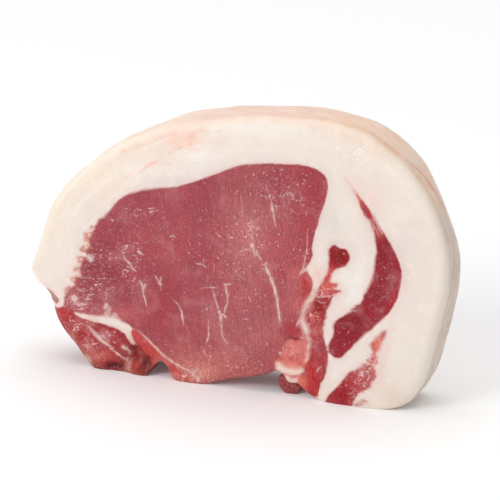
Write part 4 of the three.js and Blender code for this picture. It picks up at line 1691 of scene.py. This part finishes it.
def shred_material():
    """Dark moist lean, without the section's fields."""
    graph = Graph("raw_shred")
    fibre = graph.noise(graph.place(), (1.2, 0.25, 1.2), 3.0, 0.6)
    return graph.shaded({
        "Base Color": graph.mix(graph.ease(fibre, 0.3, 0.7), screen(SHRED_DARK), screen(SHRED_LIGHT)),
        "Roughness": SHRED_ROUGHNESS,
        "Normal": graph.bump(fibre, SHRED_BUMP),
        "Specular IOR Level": SHRED_SPECULAR,
    })


# Pieces


def add_object(name, data):
    """New object in the scene."""
    made = bpy.data.objects.new(name, data)
    bpy.context.scene.collection.objects.link(made)
    return made


def piece_faces(surface, owner):
    """Outer faces of one muscle or of the fat, and the inner walls that close it."""
    section = surface.section
    mine = section.owner == owner
    columns = np.flatnonzero(surface.column_owner == owner)
    rim = surface.rim_faces[:, columns].reshape(-1, 4)
    outer = [tuple(f) for part in (surface.front_faces[mine], surface.back_faces[mine], rim) for f in part]
    walls = []
    for face in surface.front_faces[mine]:
        for a, b in zip(face, np.roll(face, -1)):
            sharing = section.by_edge[edge_key(a, b)]
            if len(sharing) == 2 and section.owner[sharing[0]] != section.owner[sharing[1]]:
                walls.append((b, a, a + surface.count, b + surface.count))
    around = len(surface.column_owner)
    for i in columns:
        after = (i + 1) % around
        if surface.column_owner[i - 1] != owner:
            walls.append(tuple(surface.rings[:, i]))
        if surface.column_owner[after] != owner:
            walls.append(tuple(surface.rings[::-1, after]))
    return outer, walls


def make_piece(name, surface, fields, owner, material):
    """One closed mesh of the dressed chop, with the surface's normals and its fields."""
    outer, walls = piece_faces(surface, owner)
    used = np.unique(np.concatenate([np.ravel(f) for f in outer + walls]))
    renumbered = np.full(len(surface.points), -1)
    renumbered[used] = np.arange(len(used))
    faces = [[int(renumbered[i]) for i in f] for f in outer + walls]
    mesh = bpy.data.meshes.new(name)
    mesh.from_pydata((surface.points[used] * MM).tolist(), [], faces)
    for field, values in fields.items():
        kind, slot = ATTRIBUTE_KINDS[values[0].size]
        mesh.attributes.new(field, kind, "POINT").data.foreach_set(slot, values[used].ravel())
    mesh.polygons.foreach_set("use_smooth", [True] * len(outer) + [False] * len(walls))
    normals = []
    for number, polygon in enumerate(mesh.polygons):
        if number < len(outer):
            normals.extend(surface.normals[list(outer[number])].tolist())
        else:
            normals.extend([tuple(polygon.normal)] * polygon.loop_total)
    mesh.normals_split_custom_set(normals)
    mesh.materials.append(material)
    return add_object(name, mesh)


def surface_fields(surface):
    """Swells the surface, and gives everything that the materials read at each of its points."""
    flat = surface.points[:, FLAT]
    seam, closest, crease = seam_fields(surface.section, flat)
    solid = drawn_seam(seam, flat)
    clumps = fringe_depth(flat)
    seam = np.maximum(solid, clumps)
    rim_share = surface.rim_share()
    surface.push(relief(surface.points, flat, seam, rim_share))
    surface.set_down()
    skin, _ = nearest(flat, surface.points[surface.rings[MIDDLE_BAND]][:, FLAT])
    fat = edge_colours(fat_colours(flat, seam, skin), flat, skin)
    fat = rim_colours(fat, surface.points, flat, rim_share)
    lean = lean_colours(flat, closest, solid, clumps)
    # Painted shade: the lean darkened where it faces downwards inside the underside zones
    painted_shade = smoothstep(-0.3, -0.8, surface.normals[:, 2]) * bells(flat, UNDERSIDE_SHADE_ZONE).max(axis=0)
    lean = lean * (1.0 + (UNDERSIDE_SHADE_SHARE - 1.0) * painted_shade)[:, None]
    vein, vein_show = vein_fields(flat)
    angle = hub_angle(flat)
    fields = {
        "seam": seam,
        "crease": crease,
        "vein": vein,
        "vein_show": vein_show,
        "over_top": rim_share * plateau(angle, *FOLD_RUN),
        "wrinkle": rim_share * plateau(angle, *WRINKLE_RUN),
        "layer": np.stack([skin, angle * 1.2, surface.points[:, 1]], axis=1),
        "lean": np.column_stack([lean, np.ones(len(flat))]),
        "fat": np.column_stack([fat, np.ones(len(flat))]),
    }
    for name, rows in SHARES.items():
        fields[name] = bells(flat, rows).max(axis=0)
    for name in ("glint", "speck"):
        fields[name] = fields[name] * (1.0 - rim_share)
    return fields


def make_shred(material):
    """Dark shred of lean behind the notch, from its own node."""
    work = node_work(SHRED)
    bmesh.ops.subdivide_edges(work, edges=work.edges, cuts=1, use_grid_fill=True)
    bmesh.ops.smooth_vert(
        work, verts=work.verts, factor=0.5, use_axis_x=True, use_axis_y=True, use_axis_z=True
    )
    work.normal_update()
    back_end = max(v.co.y for v in work.verts)
    for vertex in work.verts:
        vertex.co.y = back_end + SHRED_RUN * (vertex.co.y - back_end)
    points = np.array([v.co for v in work.verts]) / MM
    lumps = 0.22 * noise(points, (2.4, 4.0, 2.4), 11) + 0.12 * noise(points, (1.2, 2.0, 1.2), 12)
    for vertex, lump in zip(work.verts, lumps):
        vertex.co += vertex.normal * float(lump) * MM
        vertex.co.z = max(vertex.co.z, 0.0)
    mesh = bpy.data.meshes.new(SHRED + "_flesh")
    work.to_mesh(mesh)
    work.free()
    for polygon in mesh.polygons:
        polygon.use_smooth = True
    mesh.materials.append(material)
    return add_object(SHRED + "_flesh", mesh)


def seat(piece, node):
    """Sets a piece on the frame in place of its node."""
    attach(piece, "root")
    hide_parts(node)


def dress(slots):
    """All the pieces, each riding on the frame in place of its node."""
    surface = Surface()
    fields = surface_fields(surface)
    materials = {slot: meat_material(*look) for slot, look in MEATS.items()}
    for owner, name in enumerate(NODES):
        piece = make_piece(name + "_flesh", surface, fields, owner, materials[slots[name]])
        seat(piece, name)
    seat(make_shred(shred_material()), SHRED)


# Studio


def add_floor():
    """Plain pale floor."""
    square = ((-1, -1), (1, -1), (1, 1), (-1, 1))
    mesh = bpy.data.meshes.new("floor")
    mesh.from_pydata([(FLOOR_REACH * x, FLOOR_REACH * y, 0.0) for x, y in square], [], [(0, 1, 2, 3)])
    floor = add_object("floor", mesh)
    mesh.materials.append(Graph("pale_floor").shaded(FLOOR_LOOK))


def add_light(name, place, size, power):
    """Round soft light, turned to the chop."""
    light = bpy.data.lights.new(name, "AREA")
    light.shape = "DISK"
    light.size = size
    light.energy = power
    made = add_object(name, light)
    made.location = place
    made.rotation_euler = (LIGHT_AIM - Vector(place)).to_track_quat("-Z", "Y").to_euler()


def add_lights():
    """Large soft key from the upper left, a broad light overhead and an even white surround."""
    for light in LIGHTS:
        add_light(*light)
    world = bpy.data.worlds.new("studio")
    world.use_nodes = True
    shade = world.node_tree.nodes["Background"]
    shade.inputs["Color"].default_value = (1.0, 1.0, 1.0, 1.0)
    shade.inputs["Strength"].default_value = SURROUND
    bpy.context.scene.world = world
    bpy.context.scene.view_settings.view_transform = "Standard"


def add_camera():
    """Camera on the photograph's line of sight."""
    camera = bpy.data.cameras.new("camera")
    camera.lens = VIEW_LENS
    camera.sensor_width = VIEW_SENSOR
    camera.clip_start = VIEW_START
    made = add_object("camera", camera)
    turn = math.radians(VIEW_AZIMUTH)
    rise = math.radians(VIEW_ELEVATION)
    back = Vector((math.sin(turn) * math.cos(rise), -math.cos(turn) * math.cos(rise), math.sin(rise)))
    made.location = (Vector(VIEW_AIM) + VIEW_DISTANCE * back) * MM
    made.rotation_euler = back.to_track_quat("Z", "Y").to_euler()
    bpy.context.scene.camera = made


add_camera()
add_lights()
add_floor()
dress({row["node"]: row["material_slot"] for row in frame["record"]["subparts"]})
